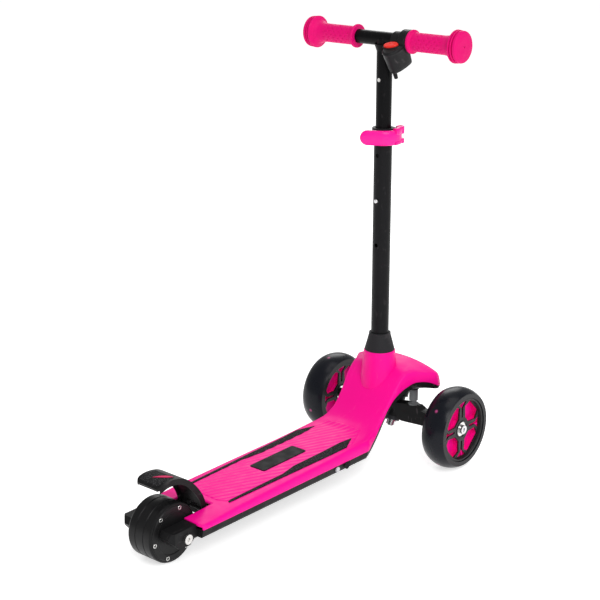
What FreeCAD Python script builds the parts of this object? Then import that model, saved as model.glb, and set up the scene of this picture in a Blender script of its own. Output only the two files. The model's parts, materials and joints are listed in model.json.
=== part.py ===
import FreeCAD, Part
import math
import os

os.makedirs("parts", exist_ok=True)

V = FreeCAD.Vector

# A child's three-wheeled electric kick scooter.  Millimetres, +Y forward, +X the rider's right, +Z up.
# The origin lies on the floor at the middle of the box that holds the whole scooter.

# ---- overall layout ----------------------------------------------------------------------------
WHEELBASE = 480.0
FRONT_WHEEL_R = 60.0
REAR_WHEEL_R = 40.0
LENGTH = WHEELBASE + FRONT_WHEEL_R + REAR_WHEEL_R
FRONT_Y = LENGTH / 2 - FRONT_WHEEL_R          # front axle line
REAR_Y = FRONT_Y - WHEELBASE                  # rear axle line
STEM_SETBACK = 35.0                           # stem behind the front axle
STEM_Y = FRONT_Y - STEM_SETBACK
BAR_Z = 614.0                                 # height of the crossbar's axis

# ---- clearances --------------------------------------------------------------------------------
RUN = 0.05                                    # radial running fit of a turning shaft
SLIDE = 0.08                                  # radial fit of a telescoping tube
GAP = 0.4                                     # between moving pieces that don't guide each other

# ---- deck and nose -----------------------------------------------------------------------------
WALL = 2.5
DECK_HALF = 56.0
DECK_BOTTOM = 36.5
DECK_FOOT = 53.0                              # half width of the flat underside
DECK_EDGE = 39.5                              # lower edge of the upright side
DECK_SPLIT = 47.5                             # joint between the cover and the lower shell
NOTCH_HALF = 24.5                             # half width of the rear wheel's slot
NOTCH_FRONT = REAR_Y + 65.0
COVER_REAR = REAR_Y + 16.0
NOSE_START = FRONT_Y - 130.0
# Stations of the deck: distance to the rear axle, top at the middle.
DECK_TOP = ((16.0, 57.0), (40.0, 57.5), (85.0, 60.0), (180.0, 62.0), (280.0, 63.5))
NOSE_START_TOP = 66.0
# Stations of the nose: y from the front axle, half width, foot half width, foot z, edge z, split z,
# shoulder half width, shoulder z, top z.
NOSE = (
    (-130.0, 56.0, 53.0, 36.5, 39.5, 47.5, 50.0, 63.5, 66.0),
    (-115.0, 51.5, 46.5, 40.5, 43.5, 52.0, 47.5, 66.0, 69.5),
    (-100.0, 48.5, 42.0, 50.0, 53.5, 62.0, 44.0, 70.0, 74.0),
    (-85.0, 45.5, 38.0, 61.5, 65.5, 74.0, 40.5, 80.0, 84.0),
    (-65.0, 45.5, 36.0, 82.0, 87.0, 95.5, 40.0, 104.0, 107.0),
    (-50.0, 48.5, 37.0, 94.0, 99.5, 108.5, 44.0, 123.5, 126.0),
    (-35.0, 51.0, 39.0, 101.0, 106.5, 115.0, 46.0, 135.0, 138.0),
    (-20.0, 56.5, 43.0, 104.0, 111.5, 120.0, 50.5, 137.0, 143.5),
    (-5.0, 67.0, 48.0, 105.0, 110.5, 119.0, 59.5, 134.5, 144.5),
    (10.0, 74.5, 50.0, 105.0, 107.0, 111.5, 67.0, 132.0, 143.5),
    (22.0, 69.0, 50.0, 104.5, 105.5, 107.5, 61.0, 126.5, 136.5),
    (30.0, 64.0, 47.0, 103.5, 104.0, 105.5, 56.0, 112.0, 118.0),
)
NECK_TOP_Z = 164.0
NECK_TOP_R = 22.8
NECK_FOOT_Z = 108.0
NECK_FOOT_R = 28.5

# ---- fork arms at the rear ---------------------------------------------------------------------
ARM_OUTER = 46.0
ARM_TOP = 54.0
ARM_LOW = 30.0

# ---- grip strips and badge plate ---------------------------------------------------------------
STRIP_RISE = 1.0
BADGE_RISE = 0.8
BADGE_HALF = 13.5
BADGE_REAR = FRONT_Y - 302.0
BADGE_LENGTH = 88.0

# ---- things inside the deck --------------------------------------------------------------------
BATTERY_HALF = 36.0
BATTERY_LENGTH = 180.0
BATTERY_HEIGHT = 17.5
BATTERY_REAR = FRONT_Y - 335.0
SCREW_X = 49.0
SCREW_YS = (REAR_Y + 80.0, REAR_Y + 170.0, REAR_Y + 250.0, NOSE_START - 20.0)
POWER_Y = FRONT_Y - 197.0
CHARGE_Y = FRONT_Y - 178.0
SIDE_Z = 42.3
POWER_R = 3.6
CHARGE_R = 4.6

# ---- rear wheel with the hub motor -------------------------------------------------------------
REAR_TYRE_HALF = 20.5
ROTOR_R = 36.7
ROTOR_BORE = 30.0
ROTOR_HALF = 18.0
COVER_FACE = 21.6
COVER_SCREW_CIRCLE = 33.2
COVER_SCREW_PHASE = 10.0
AXLE_R = 6.0
REAR_BEARING_R = 14.0
REAR_BEARING_WIDTH = 8.0
STATOR_R = 27.7
STATOR_HALF = 9.5

# ---- brake fender ------------------------------------------------------------------------------
FENDER_HALF = 22.0
FENDER_PIN_Y = REAR_Y + 59.0
FENDER_PIN_Z = 52.0
FENDER_PIN_R = 2.5
FENDER_SKIN = 4.0
FENDER_LIP = 8.0
FENDER_LIP_WIDTH = 2.0
# Outer line of the fender, side view: ahead of the rear axle, height.
FENDER_LINE = ((59.0, 53.0), (55.5, 68.0), (46.0, 84.5), (34.0, 98.0), (19.0, 108.5), (3.0, 112.5),
               (-12.0, 112.0), (-24.0, 107.0))
PAD_FRONT = 8.0                               # the pad's ends, ahead of the rear axle
PAD_REAR = -20.0
PAD_HALF = 17.0

# ---- front wheels ------------------------------------------------------------------------------
FRONT_TYRE_HALF = 19.0
FRONT_TRACK_HALF = 112.5
RIM_R = 47.5
RIM_INNER = 44.5
RIM_HALF = 17.0
HUB_R = 13.0
HUB_HALF = 12.5
TRIM_FACE = 13.25
TRIM_THICK = 2.5
BEARING_R = 11.0
BEARING_BORE = 4.0
BEARING_WIDTH = 7.0
TYRE_SIDE_R = 54.0

# ---- steering truck ----------------------------------------------------------------------------
KING_LEAN = 25.0                              # forward lean of the kingpin's top, degrees
KING_Y = FRONT_Y + 6.0                        # where the kingpin's axis crosses axle height
KING_R = 4.0
BEAM_BOSS_R = 15.0
BEAM_BOSS_HALF = 13.0
BUSHING_R = 11.0
BUSHING_HEIGHT = 6.0
BEAM_DEPTH = 16.0
BEAM_REACH = 91.0
DAMPER_X = 38.0
DAMPER_R = 6.5
DAMPER_PAD_Z = 76.5
DAMPER_TOP_Z = 101.0

# ---- stem --------------------------------------------------------------------------------------
UPPER_TUBE_R = 11.0
UPPER_TUBE_WALL = 1.5
LOWER_TUBE_WALL = 1.72
LOWER_TUBE_R = UPPER_TUBE_R + SLIDE + LOWER_TUBE_WALL
LOWER_TUBE_BOTTOM = 106.0
LOWER_TUBE_TOP = 488.0
UPPER_TUBE_BOTTOM = 340.0
CONE_TOP_Z = 190.0
CONE_TOP_R = 15.2
CONE_FOOT_R = 22.0
NOTCH_PITCH = 65.0
SNAP_Z = 387.5
SNAP_R = 3.0
SNAP_PROUD = 3.0

# ---- clamp -------------------------------------------------------------------------------------
COLLAR_LOW = 467.0
COLLAR_R = 15.8
COLLAR_TOP = LOWER_TUBE_TOP + 3.0
EAR_SLIT_HALF = 1.0
EAR_OUTER = 10.6
EAR_REAR = STEM_Y + 12.0
EAR_FRONT = STEM_Y + 21.0
PIVOT_X = 17.0
PIVOT_Y = STEM_Y + 16.5
PIVOT_PIN_R = 3.2
KNUCKLE_R = 6.0
FORK_SLOT_HALF = 3.4
CLAMP_BOLT_Z = 479.0
CLAMP_BOLT_R = 2.4
CLAMP_HEAD_R = 4.5
LEVER_LOW = 469.0
LEVER_TOP = 489.0
LEVER_TAB_TOP = 493.0
LEVER_ARC_R = math.hypot(PIVOT_X, PIVOT_Y - STEM_Y)
LEVER_THICK = 5.0
LEVER_ARC_END = -62.0                         # where the band leaves its arc, degrees from +X
LEVER_TAIL = 29.0

# ---- handlebar, grips and throttle -------------------------------------------------------------
BAR_R = 9.75
BAR_WALL = 1.5
BAR_HALF = 126.0
GRIP_INNER = 45.8
GRIP_END = 133.0
GRIP_R = 13.0
FLANGE_R = 16.5
BELL_R = 22.5
THROTTLE_LEAN = 26.0
THROTTLE_FACE_Y = STEM_Y - 20.0
THROTTLE_FACE_Z = BAR_Z - 6.4
THROTTLE_DEPTH = 37.0
BAND_R = 16.0
BAND_X0 = 33.0
BUTTON_X = 25.0
BUTTON_V = 2.0                                # up the face
SWITCH_HALF_X = 7.0
SWITCH_HALF_V = 6.0
BUTTON_LONG = 10.5
BUTTON_SHORT = 6.5
BUTTON_TURN = 18.0
BUTTON_RISE = 3.0
BUTTON_TRAVEL = 2.5
GLAND_X = 20.5
GLAND_V = -1.7
GLAND_R = 3.4
GLAND_TIP_R = 2.6
GLAND_LENGTH = 13.0


# ---- shape helpers -----------------------------------------------------------------------------
def box(x0, x1, y0, y1, z0, z1):
    return Part.makeBox(x1 - x0, y1 - y0, z1 - z0, V(x0, y0, z0))


def rod(start, end, radius):
    axis = end.sub(start)
    return Part.makeCylinder(radius, axis.Length, start, axis)


def rod_x(x0, x1, y, z, radius):
    return rod(V(x0, y, z), V(x1, y, z), radius)


def ring_x(x0, x1, y, z, outer, inner):
    return rod_x(x0, x1, y, z, outer).cut(rod_x(x0 - 1, x1 + 1, y, z, inner))


def polygon(points):
    return Part.Face(Part.makePolygon(points + [points[0]]))


def prism_x(outline, x0, x1):
    """Extrude a (y, z) outline along X."""
    return polygon([V(x0, y, z) for y, z in outline]).extrude(V(x1 - x0, 0, 0))


def prism_y(outline, y0, y1):
    """Extrude an (x, z) outline along Y."""
    return polygon([V(x, y0, z) for x, z in outline]).extrude(V(0, y1 - y0, 0))


def prism_z(outline, z0, z1):
    """Extrude an (x, y) outline along Z."""
    return polygon([V(x, y, z0) for x, y in outline]).extrude(V(0, 0, z1 - z0))


def spin_x(profile, y, z):
    """Turn a closed (x, radius) profile about the X line through y, z."""
    face = polygon([V(x, y, z + r) for x, r in profile])
    return face.revolve(V(0, y, z), V(1, 0, 0), 360)


def mirrored(shape):
    return shape.mirror(V(0, 0, 0), V(1, 0, 0))


def both_sides(shape):
    return [shape, mirrored(shape)]


def fused(shapes):
    result = shapes[0]
    for shape in shapes[1:]:
        result = result.fuse(shape)
    return result.removeSplitter()


def group(shapes):
    return Part.makeCompound(shapes)


def only_solid(shape):
    """The largest solid of a boolean's result."""
    return max(shape.Solids, key=lambda s: s.Volume)


def export(name, shape):
    shape.exportStep("parts/" + name + ".step")
    solids = shape.Solids
    print(name, len(solids), round(sum(s.Volume for s in solids)), shape.isValid())


# ---- the deck's lofted body --------------------------------------------------------------------
def arc(a, b, c):
    return Part.Arc(a, b, c).toShape()


def upper_section(y, half, base, shoulder, shoulder_z, top):
    """Section of the cover: straight base, bulging sides, crowned top."""
    left, right = V(-half, y, base), V(half, y, base)
    low, high = V(-shoulder, y, shoulder_z), V(shoulder, y, shoulder_z)
    bulge_x = shoulder + 0.78 * (half - shoulder)
    bulge_z = base + 0.72 * (shoulder_z - base)
    edges = [
        arc(left, V(-bulge_x, y, bulge_z), low),
        arc(low, V(0, y, top), high),
        arc(high, V(bulge_x, y, bulge_z), right),
        Part.makeLine(right, left),
    ]
    return Part.Wire(edges)


def lower_section(y, half, base, edge_z, foot, foot_z):
    """Section of the lower shell: straight lid, upright edge, sloping flank, flat foot."""
    points = [V(-half, y, base), V(half, y, base), V(half - 1.5, y, edge_z), V(foot, y, foot_z),
              V(-foot, y, foot_z), V(-half + 1.5, y, edge_z)]
    return Part.makePolygon(points + [points[0]])


def deck_stations():
    rows = [(REAR_Y + d, top) for d, top in DECK_TOP]
    rows.append((NOSE_START, NOSE_START_TOP))
    return rows


def cover_deck(inset, drop, rear):
    """Upper half of the deck, inset by a wall and carried down past the split by a drop."""
    wires = []
    for y, top in deck_stations():
        wires.append(upper_section(max(y, rear), DECK_HALF - inset, DECK_SPLIT - drop,
                                   DECK_HALF - 6.0 - inset, top - 2.5 - inset, top - inset))
    if rear > NOTCH_FRONT:
        wires = wires[2:]
        wires.insert(0, upper_section(rear, DECK_HALF - inset, DECK_SPLIT - drop,
                                      DECK_HALF - 6.0 - inset, 59.0 - 2.5 - inset, 59.0 - inset))
    return Part.makeLoft(wires, True, True)


def cover_nose(inset, drop, trim):
    wires = []
    for y, half, foot, foot_z, edge_z, split, shoulder, shoulder_z, top in NOSE:
        here = min(FRONT_Y + y, FRONT_Y + NOSE[-1][0] - trim)
        wires.append(upper_section(here, half - inset, split - drop, shoulder - inset,
                                   shoulder_z - inset, top - inset))
    return Part.makeLoft(wires, True, False)


def shell_nose(inset, rise, trim):
    wires = []
    for y, half, foot, foot_z, edge_z, split, shoulder, shoulder_z, top in NOSE:
        here = min(FRONT_Y + y, FRONT_Y + NOSE[-1][0] - trim)
        wires.append(lower_section(here, half - inset, split + rise, edge_z + inset * 0.6,
                                   foot - inset, foot_z + inset))
    return Part.makeLoft(wires, True, False)


def neck(extra=0.0):
    foot = V(0, STEM_Y, NECK_FOOT_Z)
    return Part.makeCone(NECK_FOOT_R + extra, NECK_TOP_R + extra, NECK_TOP_Z - NECK_FOOT_Z, foot, V(0, 0, 1))


def king_point(u):
    """A point on the kingpin's axis, u above axle height along the axis."""
    lean = math.radians(KING_LEAN)
    return V(0, KING_Y + u * math.sin(lean), FRONT_WHEEL_R + u * math.cos(lean))


def king_boss_foot():
    return BEAM_BOSS_HALF + RUN + BUSHING_HEIGHT


def cover_screw_posts(z0, z1, radius):
    posts = []
    for y in SCREW_YS:
        posts += both_sides(rod(V(SCREW_X, y, z0), V(SCREW_X, y, z1), radius))
    return posts


def make_cover_screws():
    screws = []
    for y in SCREW_YS:
        shank = rod(V(SCREW_X, y, DECK_BOTTOM + 1.5), V(SCREW_X, y, 55.0), 1.4)
        head = rod(V(SCREW_X, y, DECK_BOTTOM + 0.2), V(SCREW_X, y, DECK_BOTTOM + 1.8), 2.6)
        screws += both_sides(shank.fuse(head))
    return group(screws)


def deck_skin():
    """The cover's outside, without the neck."""
    return cover_deck(0, 0, COVER_REAR).fuse(cover_nose(0, 0, 0)).removeSplitter()


def make_deck_cover():
    inner_rear = NOTCH_FRONT + 3.0
    body = deck_skin().fuse(neck())
    hollow = cover_deck(WALL, 1.0, inner_rear).fuse(cover_nose(WALL, 1.0, WALL))
    # The stem's socket stays solid down to the lower shell.
    socket = rod(V(0, STEM_Y, 100.0), V(0, STEM_Y, NECK_TOP_Z), NECK_TOP_R - 4.0)
    below = box(-200, 200, STEM_Y - 60, STEM_Y + 60, 0, 112.5)
    socket = socket.common(body).cut(below)
    body = body.cut(hollow).fuse(socket)
    posts = fused_list(cover_screw_posts(DECK_SPLIT, 57.0, 3.4))
    body = body.fuse(posts.common(deck_skin()))
    body = body.cut(rod(V(0, STEM_Y, 90.0), V(0, STEM_Y, 200.0), LOWER_TUBE_R))
    body = body.cut(shell_nose(0, 0, 0))
    body = body.cut(box(-NOTCH_HALF, NOTCH_HALF, REAR_Y - 100, NOTCH_FRONT, 0, 200))
    corner = prism_z([(70, COVER_REAR - 5), (70, COVER_REAR + 9), (47, COVER_REAR - 1)], 40, 70)
    body = body.cut(group(both_sides(corner)))
    body = body.cut(rod_x(-30, 30, FENDER_PIN_Y, FENDER_PIN_Z, FENDER_PIN_R))
    body = body.cut(make_cover_screws())
    return only_solid(body)


def fused_list(shapes):
    return shapes[0].multiFuse(shapes[1:])


def arm_outline():
    """Side view of a fork arm behind the cover."""
    return [(COVER_REAR, DECK_SPLIT), (COVER_REAR, ARM_TOP), (REAR_Y - 24.0, ARM_TOP - 0.5),
            (REAR_Y - 28.0, ARM_TOP - 9.0), (REAR_Y - 14.0, ARM_LOW), (REAR_Y + 5.0, ARM_LOW),
            (REAR_Y + 12.0, DECK_BOTTOM), (REAR_Y + 40.0, DECK_BOTTOM), (REAR_Y + 40.0, DECK_SPLIT)]


def make_lower_shell():
    y0 = REAR_Y + 18.0
    half, edge = DECK_HALF, DECK_HALF - 1.5
    section = [(-half, DECK_SPLIT), (half, DECK_SPLIT), (edge, DECK_EDGE), (DECK_FOOT, DECK_BOTTOM),
               (-DECK_FOOT, DECK_BOTTOM), (-edge, DECK_EDGE)]
    body = prism_y(section, y0, NOSE_START).fuse(shell_nose(0, 0, 0))
    half, edge, foot_half, floor = half - WALL, edge - WALL, DECK_FOOT - WALL, DECK_BOTTOM + WALL
    inner = [(-half, DECK_SPLIT + WALL), (half, DECK_SPLIT + WALL), (edge, DECK_EDGE + 1.5),
             (foot_half, floor), (-foot_half, floor), (-edge, DECK_EDGE + 1.5)]
    hollow = prism_y(inner, NOTCH_FRONT + 3.0, NOSE_START).fuse(shell_nose(WALL, 1.0, WALL))
    body = body.cut(hollow)
    arm = prism_x(arm_outline(), NOTCH_HALF, ARM_OUTER)
    tip = REAR_Y - 28.0
    outside = ARM_OUTER + 1
    arm = arm.cut(prism_z([(outside, tip - 1), (outside, tip + 8), (ARM_OUTER - 8, tip - 1)], 0, 80))
    for side in both_sides(arm):
        body = body.fuse(side)
    boss = rod(king_point(king_boss_foot()), king_point(44.0), BEAM_BOSS_R - 1.0)
    web_line = [(FRONT_Y - 18.0, 105.5), (FRONT_Y + 12.0, 84.0), (FRONT_Y + 30.0, 92.0),
                (FRONT_Y + 29.0, 105.5)]
    web = prism_x(web_line, -9.0, 9.0)
    web = web.cut(rod(king_point(0.0), king_point(king_boss_foot()), 30.0))
    body = body.fuse(boss.fuse(web))
    foot = rod(V(0, STEM_Y, 101.5), V(0, STEM_Y, 112.5), LOWER_TUBE_R + 3.5)
    body = body.fuse(foot.cut(rod(V(0, STEM_Y, LOWER_TUBE_BOTTOM), V(0, STEM_Y, 130), LOWER_TUBE_R)))
    body = body.fuse(fused_list(cover_screw_posts(DECK_BOTTOM + 1.0, DECK_SPLIT, 3.4)))
    body = body.cut(box(-NOTCH_HALF, NOTCH_HALF, REAR_Y - 100, NOTCH_FRONT, 0, 200))
    body = body.cut(rod_x(-60, 60, REAR_Y, REAR_WHEEL_R, AXLE_R))
    body = body.cut(make_cover_screws())
    body = body.cut(make_kingpin_bolt())
    body = body.cut(rod_x(DECK_HALF - 6.8, DECK_HALF + 4, POWER_Y, SIDE_Z, POWER_R + GAP))
    body = body.cut(rod_x(50, 60, CHARGE_Y, SIDE_Z, CHARGE_R - 1.3))
    return only_solid(body)


def on_deck(outline, rise):
    """A thin piece that follows the deck's crown, from its (x, y) outline."""
    skin = cover_deck(0, 0, COVER_REAR)
    raised = skin.copy()
    raised.translate(V(0, 0, rise))
    return prism_z(outline, 50.0, 80.0).common(raised).cut(skin)


def make_grip_strips():
    y = FRONT_Y
    outline = [(34.5, y - 141.0), (46.5, y - 166.0), (43.0, y - 290.0), (39.8, y - 397.0), (36.5, y - 392.0),
               (37.0, y - 290.0), (32.0, y - 262.0), (31.5, y - 163.0)]
    strip = on_deck(outline, STRIP_RISE)
    return group(both_sides(only_solid(strip)))


def make_badge_plate():
    y0, y1 = BADGE_REAR, BADGE_REAR + BADGE_LENGTH
    outline = [(-BADGE_HALF, y0 + 3), (-BADGE_HALF, y1 - 3), (-BADGE_HALF + 4, y1), (BADGE_HALF, y1 - 2),
               (BADGE_HALF, y0 + 2), (BADGE_HALF - 4, y0)]
    return only_solid(on_deck(outline, BADGE_RISE))


def make_battery_pack():
    floor = DECK_BOTTOM + WALL
    front = BATTERY_REAR + BATTERY_LENGTH
    pack = box(-BATTERY_HALF, BATTERY_HALF, BATTERY_REAR, front, floor, floor + BATTERY_HEIGHT)
    return pack.makeFillet(4.0, pack.Edges)


def make_controller_board():
    floor = DECK_BOTTOM + WALL
    board = box(-30, 30, BATTERY_REAR - 48, BATTERY_REAR - 6, floor + 3.0, floor + 4.6)
    feet = [rod(V(x, y, floor), V(x, y, floor + 3.0), 2.5) for x in (-26, 26)
            for y in (BATTERY_REAR - 44, BATTERY_REAR - 10)]
    sink = box(-25, 5, BATTERY_REAR - 44, BATTERY_REAR - 16, floor + 4.6, floor + 9.0)
    return fused([board, sink] + feet)


def make_power_button():
    body = rod_x(DECK_HALF - 5.0, DECK_HALF + 1.0, POWER_Y, SIDE_Z, POWER_R)
    return body


def make_power_switch():
    return box(DECK_HALF - 15.0, DECK_HALF - 7.0, POWER_Y - 5, POWER_Y + 5, DECK_BOTTOM + WALL, SIDE_Z + 5.0)


def make_charge_socket():
    barrel = rod_x(DECK_HALF - 12.0, DECK_HALF - 0.2, CHARGE_Y, SIDE_Z, CHARGE_R - 1.3)
    barrel = barrel.cut(rod_x(DECK_HALF - 9.0, DECK_HALF + 1.0, CHARGE_Y, SIDE_Z, 2.2))
    seat = box(DECK_HALF - 14.0, DECK_HALF - 6.0, CHARGE_Y - 3, CHARGE_Y + 3, DECK_BOTTOM + WALL, SIDE_Z - 2.0)
    return fused([barrel.cut(seat), seat])


def make_charge_cap():
    cap = rod_x(DECK_HALF + 0.3, DECK_HALF + 1.8, CHARGE_Y, SIDE_Z, CHARGE_R)
    tab = box(DECK_HALF + 0.3, DECK_HALF + 1.5, CHARGE_Y + 2.0, CHARGE_Y + 9.0, SIDE_Z - 1.8, SIDE_Z + 1.8)
    plug = rod_x(DECK_HALF - 2.0, DECK_HALF + 0.5, CHARGE_Y, SIDE_Z, 1.6)
    return fused([cap, tab, plug])


# ---- rear wheel --------------------------------------------------------------------------------
def make_rear_tyre():
    half, outer = REAR_TYRE_HALF, REAR_WHEEL_R
    profile = [(-half, ROTOR_R), (-half, outer - 2.2), (-half + 0.8, outer - 0.8), (-half + 2.4, outer)]
    for groove in (-7.0, 7.0):
        profile += [(groove - 0.9, outer), (groove, outer - 1.0), (groove + 0.9, outer)]
    profile += [(half - 2.4, outer), (half - 0.8, outer - 0.8), (half, outer - 2.2), (half, ROTOR_R)]
    return spin_x(profile, REAR_Y, REAR_WHEEL_R)


def cover_screw_angles():
    return [math.radians(COVER_SCREW_PHASE + 60.0 * k) for k in range(6)]


def make_motor_cover_screws():
    screws = []
    for angle in cover_screw_angles():
        y = REAR_Y - COVER_SCREW_CIRCLE * math.cos(angle)
        z = REAR_WHEEL_R - COVER_SCREW_CIRCLE * math.sin(angle)
        shank = rod_x(ROTOR_HALF - 7.0, COVER_FACE - 0.8, y, z, 1.3)
        head = rod_x(COVER_FACE - 1.4, COVER_FACE - 0.1, y, z, 2.4)
        screws += both_sides(shank.fuse(head))
    return group(screws)


def make_motor_rotor():
    shell = ring_x(-ROTOR_HALF, ROTOR_HALF, REAR_Y, REAR_WHEEL_R, ROTOR_R, ROTOR_BORE)
    return only_solid(shell.cut(make_motor_cover_screws()))


def make_rotor_magnets():
    magnets = []
    ring = ring_x(-STATOR_HALF, STATOR_HALF, REAR_Y, REAR_WHEEL_R, ROTOR_BORE, ROTOR_BORE - 1.8)
    for k in range(14):
        angle = math.radians(360.0 / 14 * k)
        wedge = []
        for side in (-1, 1):
            a = angle + side * math.radians(11.0)
            wedge.append((REAR_Y + 45 * math.cos(a), REAR_WHEEL_R + 45 * math.sin(a)))
        magnets.append(ring.common(prism_x([(REAR_Y, REAR_WHEEL_R)] + wedge, -20, 20)))
    return group([m.Solids[0] for m in magnets])


def make_motor_cover():
    inner = COVER_FACE - REAR_BEARING_WIDTH - 2.6
    profile = [(ROTOR_HALF, ROTOR_R - 0.1), (COVER_FACE - 1.0, ROTOR_R - 0.1), (COVER_FACE, ROTOR_R - 1.1),
               (COVER_FACE, 29.0), (COVER_FACE - 0.8, 27.8), (COVER_FACE - 0.8, AXLE_R + 3.0),
               (COVER_FACE - 2.6, AXLE_R + 3.0), (COVER_FACE - 2.6, REAR_BEARING_R), (inner, REAR_BEARING_R),
               (inner, REAR_BEARING_R + 3.0), (ROTOR_HALF, REAR_BEARING_R + 4.0)]
    cover = spin_x(profile, REAR_Y, REAR_WHEEL_R)
    return only_solid(cover.cut(make_motor_cover_screws()))


def make_rear_bearings():
    outer_face = COVER_FACE - 2.6
    inner_face = outer_face - REAR_BEARING_WIDTH
    ring = ring_x(inner_face, outer_face, REAR_Y, REAR_WHEEL_R, REAR_BEARING_R, AXLE_R + RUN)
    return group(both_sides(ring))


def make_rear_axle_bolts():
    shank = rod_x(28.0, ARM_OUTER + 0.5, REAR_Y, REAR_WHEEL_R, 3.0)
    head = rod_x(ARM_OUTER, ARM_OUTER + 3.0, REAR_Y, REAR_WHEEL_R, 6.5)
    socket = rod_x(ARM_OUTER + 1.2, ARM_OUTER + 5.0, REAR_Y, REAR_WHEEL_R, 2.3)
    return group(both_sides(shank.fuse(head).cut(socket)))


def make_rear_axle():
    shaft = rod_x(-ARM_OUTER + 1.0, ARM_OUTER - 1.0, REAR_Y, REAR_WHEEL_R, AXLE_R)
    for spacer in both_sides(ring_x(COVER_FACE + GAP, NOTCH_HALF, REAR_Y, REAR_WHEEL_R, 8.5, AXLE_R)):
        shaft = shaft.fuse(spacer)
    return only_solid(shaft.cut(make_rear_axle_bolts()).removeSplitter())


def make_motor_stator():
    core = ring_x(-STATOR_HALF, STATOR_HALF, REAR_Y, REAR_WHEEL_R, 14.0, AXLE_R)
    shoes = ring_x(-STATOR_HALF, STATOR_HALF, REAR_Y, REAR_WHEEL_R, STATOR_R, STATOR_R - 2.0)
    teeth = []
    for k in range(12):
        turn = 30.0 * k
        tooth = box(-STATOR_HALF, STATOR_HALF, REAR_Y + 13.0, REAR_Y + STATOR_R - 1.0,
                    REAR_WHEEL_R - 2.5, REAR_WHEEL_R + 2.5)
        tooth.rotate(V(0, REAR_Y, REAR_WHEEL_R), V(1, 0, 0), turn)
        gap_y = REAR_Y + STATOR_R
        gap = box(-20, 20, gap_y - 4.0, gap_y + 2.0, REAR_WHEEL_R - 1.0, REAR_WHEEL_R + 1.0)
        gap.rotate(V(0, REAR_Y, REAR_WHEEL_R), V(1, 0, 0), turn + 15.0)
        shoes = shoes.cut(gap)
        teeth.append(tooth)
    return fused([core] + teeth + [shoes])


# ---- brake fender ------------------------------------------------------------------------------
def fender_points(inset):
    """Points on the fender's side view, inset inwards from its outer line."""
    line = [V(0, REAR_Y + y, z) for y, z in FENDER_LINE]
    points = []
    for i, point in enumerate(line):
        along = line[min(i + 1, len(line) - 1)].sub(line[max(i - 1, 0)]).normalize()
        points.append(point.add(V(0, -along.z, along.y).multiply(inset)))
    return points


def fender_curve(inset):
    curve = Part.BSplineCurve()
    curve.interpolate(fender_points(inset))
    return curve.toShape()


def fender_plate(x0, x1, outer, inner):
    """Plate between two insets of the fender's line."""
    a, b = fender_points(outer), fender_points(inner)
    edges = [fender_curve(outer), Part.makeLine(a[-1], b[-1]), fender_curve(inner), Part.makeLine(b[0], a[0])]
    plate = Part.Face(Part.Wire(Part.__sortEdges__(edges))).extrude(V(x1 - x0, 0, 0))
    plate.translate(V(x0, 0, 0))
    return plate


def make_brake_fender():
    skin = fender_plate(-FENDER_HALF, FENDER_HALF, 0.0, FENDER_SKIN)
    lips = both_sides(fender_plate(FENDER_HALF - FENDER_LIP_WIDTH, FENDER_HALF, 0.0, FENDER_LIP))
    body = fused([skin] + lips)
    for barrel in both_sides(rod_x(8.5, FENDER_HALF, FENDER_PIN_Y, FENDER_PIN_Z, 5.0)):
        body = body.fuse(barrel)
    body = body.cut(box(-8.5, 8.5, FENDER_PIN_Y - 12, FENDER_PIN_Y + 8, FENDER_PIN_Z - 6, FENDER_PIN_Z + 8.0))
    # The tail's corners are rounded off.
    tail = REAR_Y + FENDER_LINE[-1][0]
    for corner in both_sides(prism_z([(FENDER_HALF + 1, tail - 2), (FENDER_HALF + 1, tail + 10),
                                      (FENDER_HALF - 1.5, tail + 4), (FENDER_HALF - 7, tail - 2)], 90, 130)):
        body = body.cut(corner)
    body = body.cut(rod_x(-40, 40, FENDER_PIN_Y, FENDER_PIN_Z, FENDER_PIN_R + RUN))
    return only_solid(body.cut(make_fender_grip()).removeSplitter())


def make_fender_grip():
    """Textured pad let into the top of the tail."""
    pad = fender_plate(-PAD_HALF, PAD_HALF, -0.4, 0.8)
    window = box(-PAD_HALF, PAD_HALF, REAR_Y + PAD_REAR, REAR_Y + PAD_FRONT, 90, 130)
    return only_solid(pad.common(window))


def make_fender_hinge_pin():
    return rod_x(-30, 30, FENDER_PIN_Y, FENDER_PIN_Z, FENDER_PIN_R)


def make_fender_spring():
    """Coils round the hinge pin, with one leg on the fender and one on the slot's front wall."""
    wire_r, coil_r, turns, pitch = 0.6, FENDER_PIN_R + 1.0, 7, 1.6
    helix = Part.makeHelix(pitch, pitch * turns, coil_r)
    start = V(coil_r, 0, 0)
    circle = Part.Wire(Part.makeCircle(wire_r, start, V(0, 1, 0)))
    coil = Part.Wire(helix.Edges).makePipeShell([circle], True, True)
    coil.rotate(V(0, 0, 0), V(0, 1, 0), 90)
    coil.translate(V(-pitch * turns / 2, FENDER_PIN_Y, FENDER_PIN_Z))
    return coil


# ---- front wheels ------------------------------------------------------------------------------
def make_front_tyre():
    c, half = FRONT_TRACK_HALF, FRONT_TYRE_HALF
    y, z = FRONT_Y, FRONT_WHEEL_R
    side = TYRE_SIDE_R
    edges = [
        Part.makeLine(V(c - half, y, z + RIM_R), V(c - half, y, z + side)),
        arc(V(c - half, y, z + side), V(c, y, z + FRONT_WHEEL_R), V(c + half, y, z + side)),
        Part.makeLine(V(c + half, y, z + side), V(c + half, y, z + RIM_R)),
        Part.makeLine(V(c + half, y, z + RIM_R), V(c - half, y, z + RIM_R)),
    ]
    return Part.Face(Part.Wire(edges)).revolve(V(0, y, z), V(1, 0, 0), 360)


def polar(radius, degrees):
    angle = math.radians(degrees)
    return FRONT_Y + radius * math.cos(angle), FRONT_WHEEL_R + radius * math.sin(angle)


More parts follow.
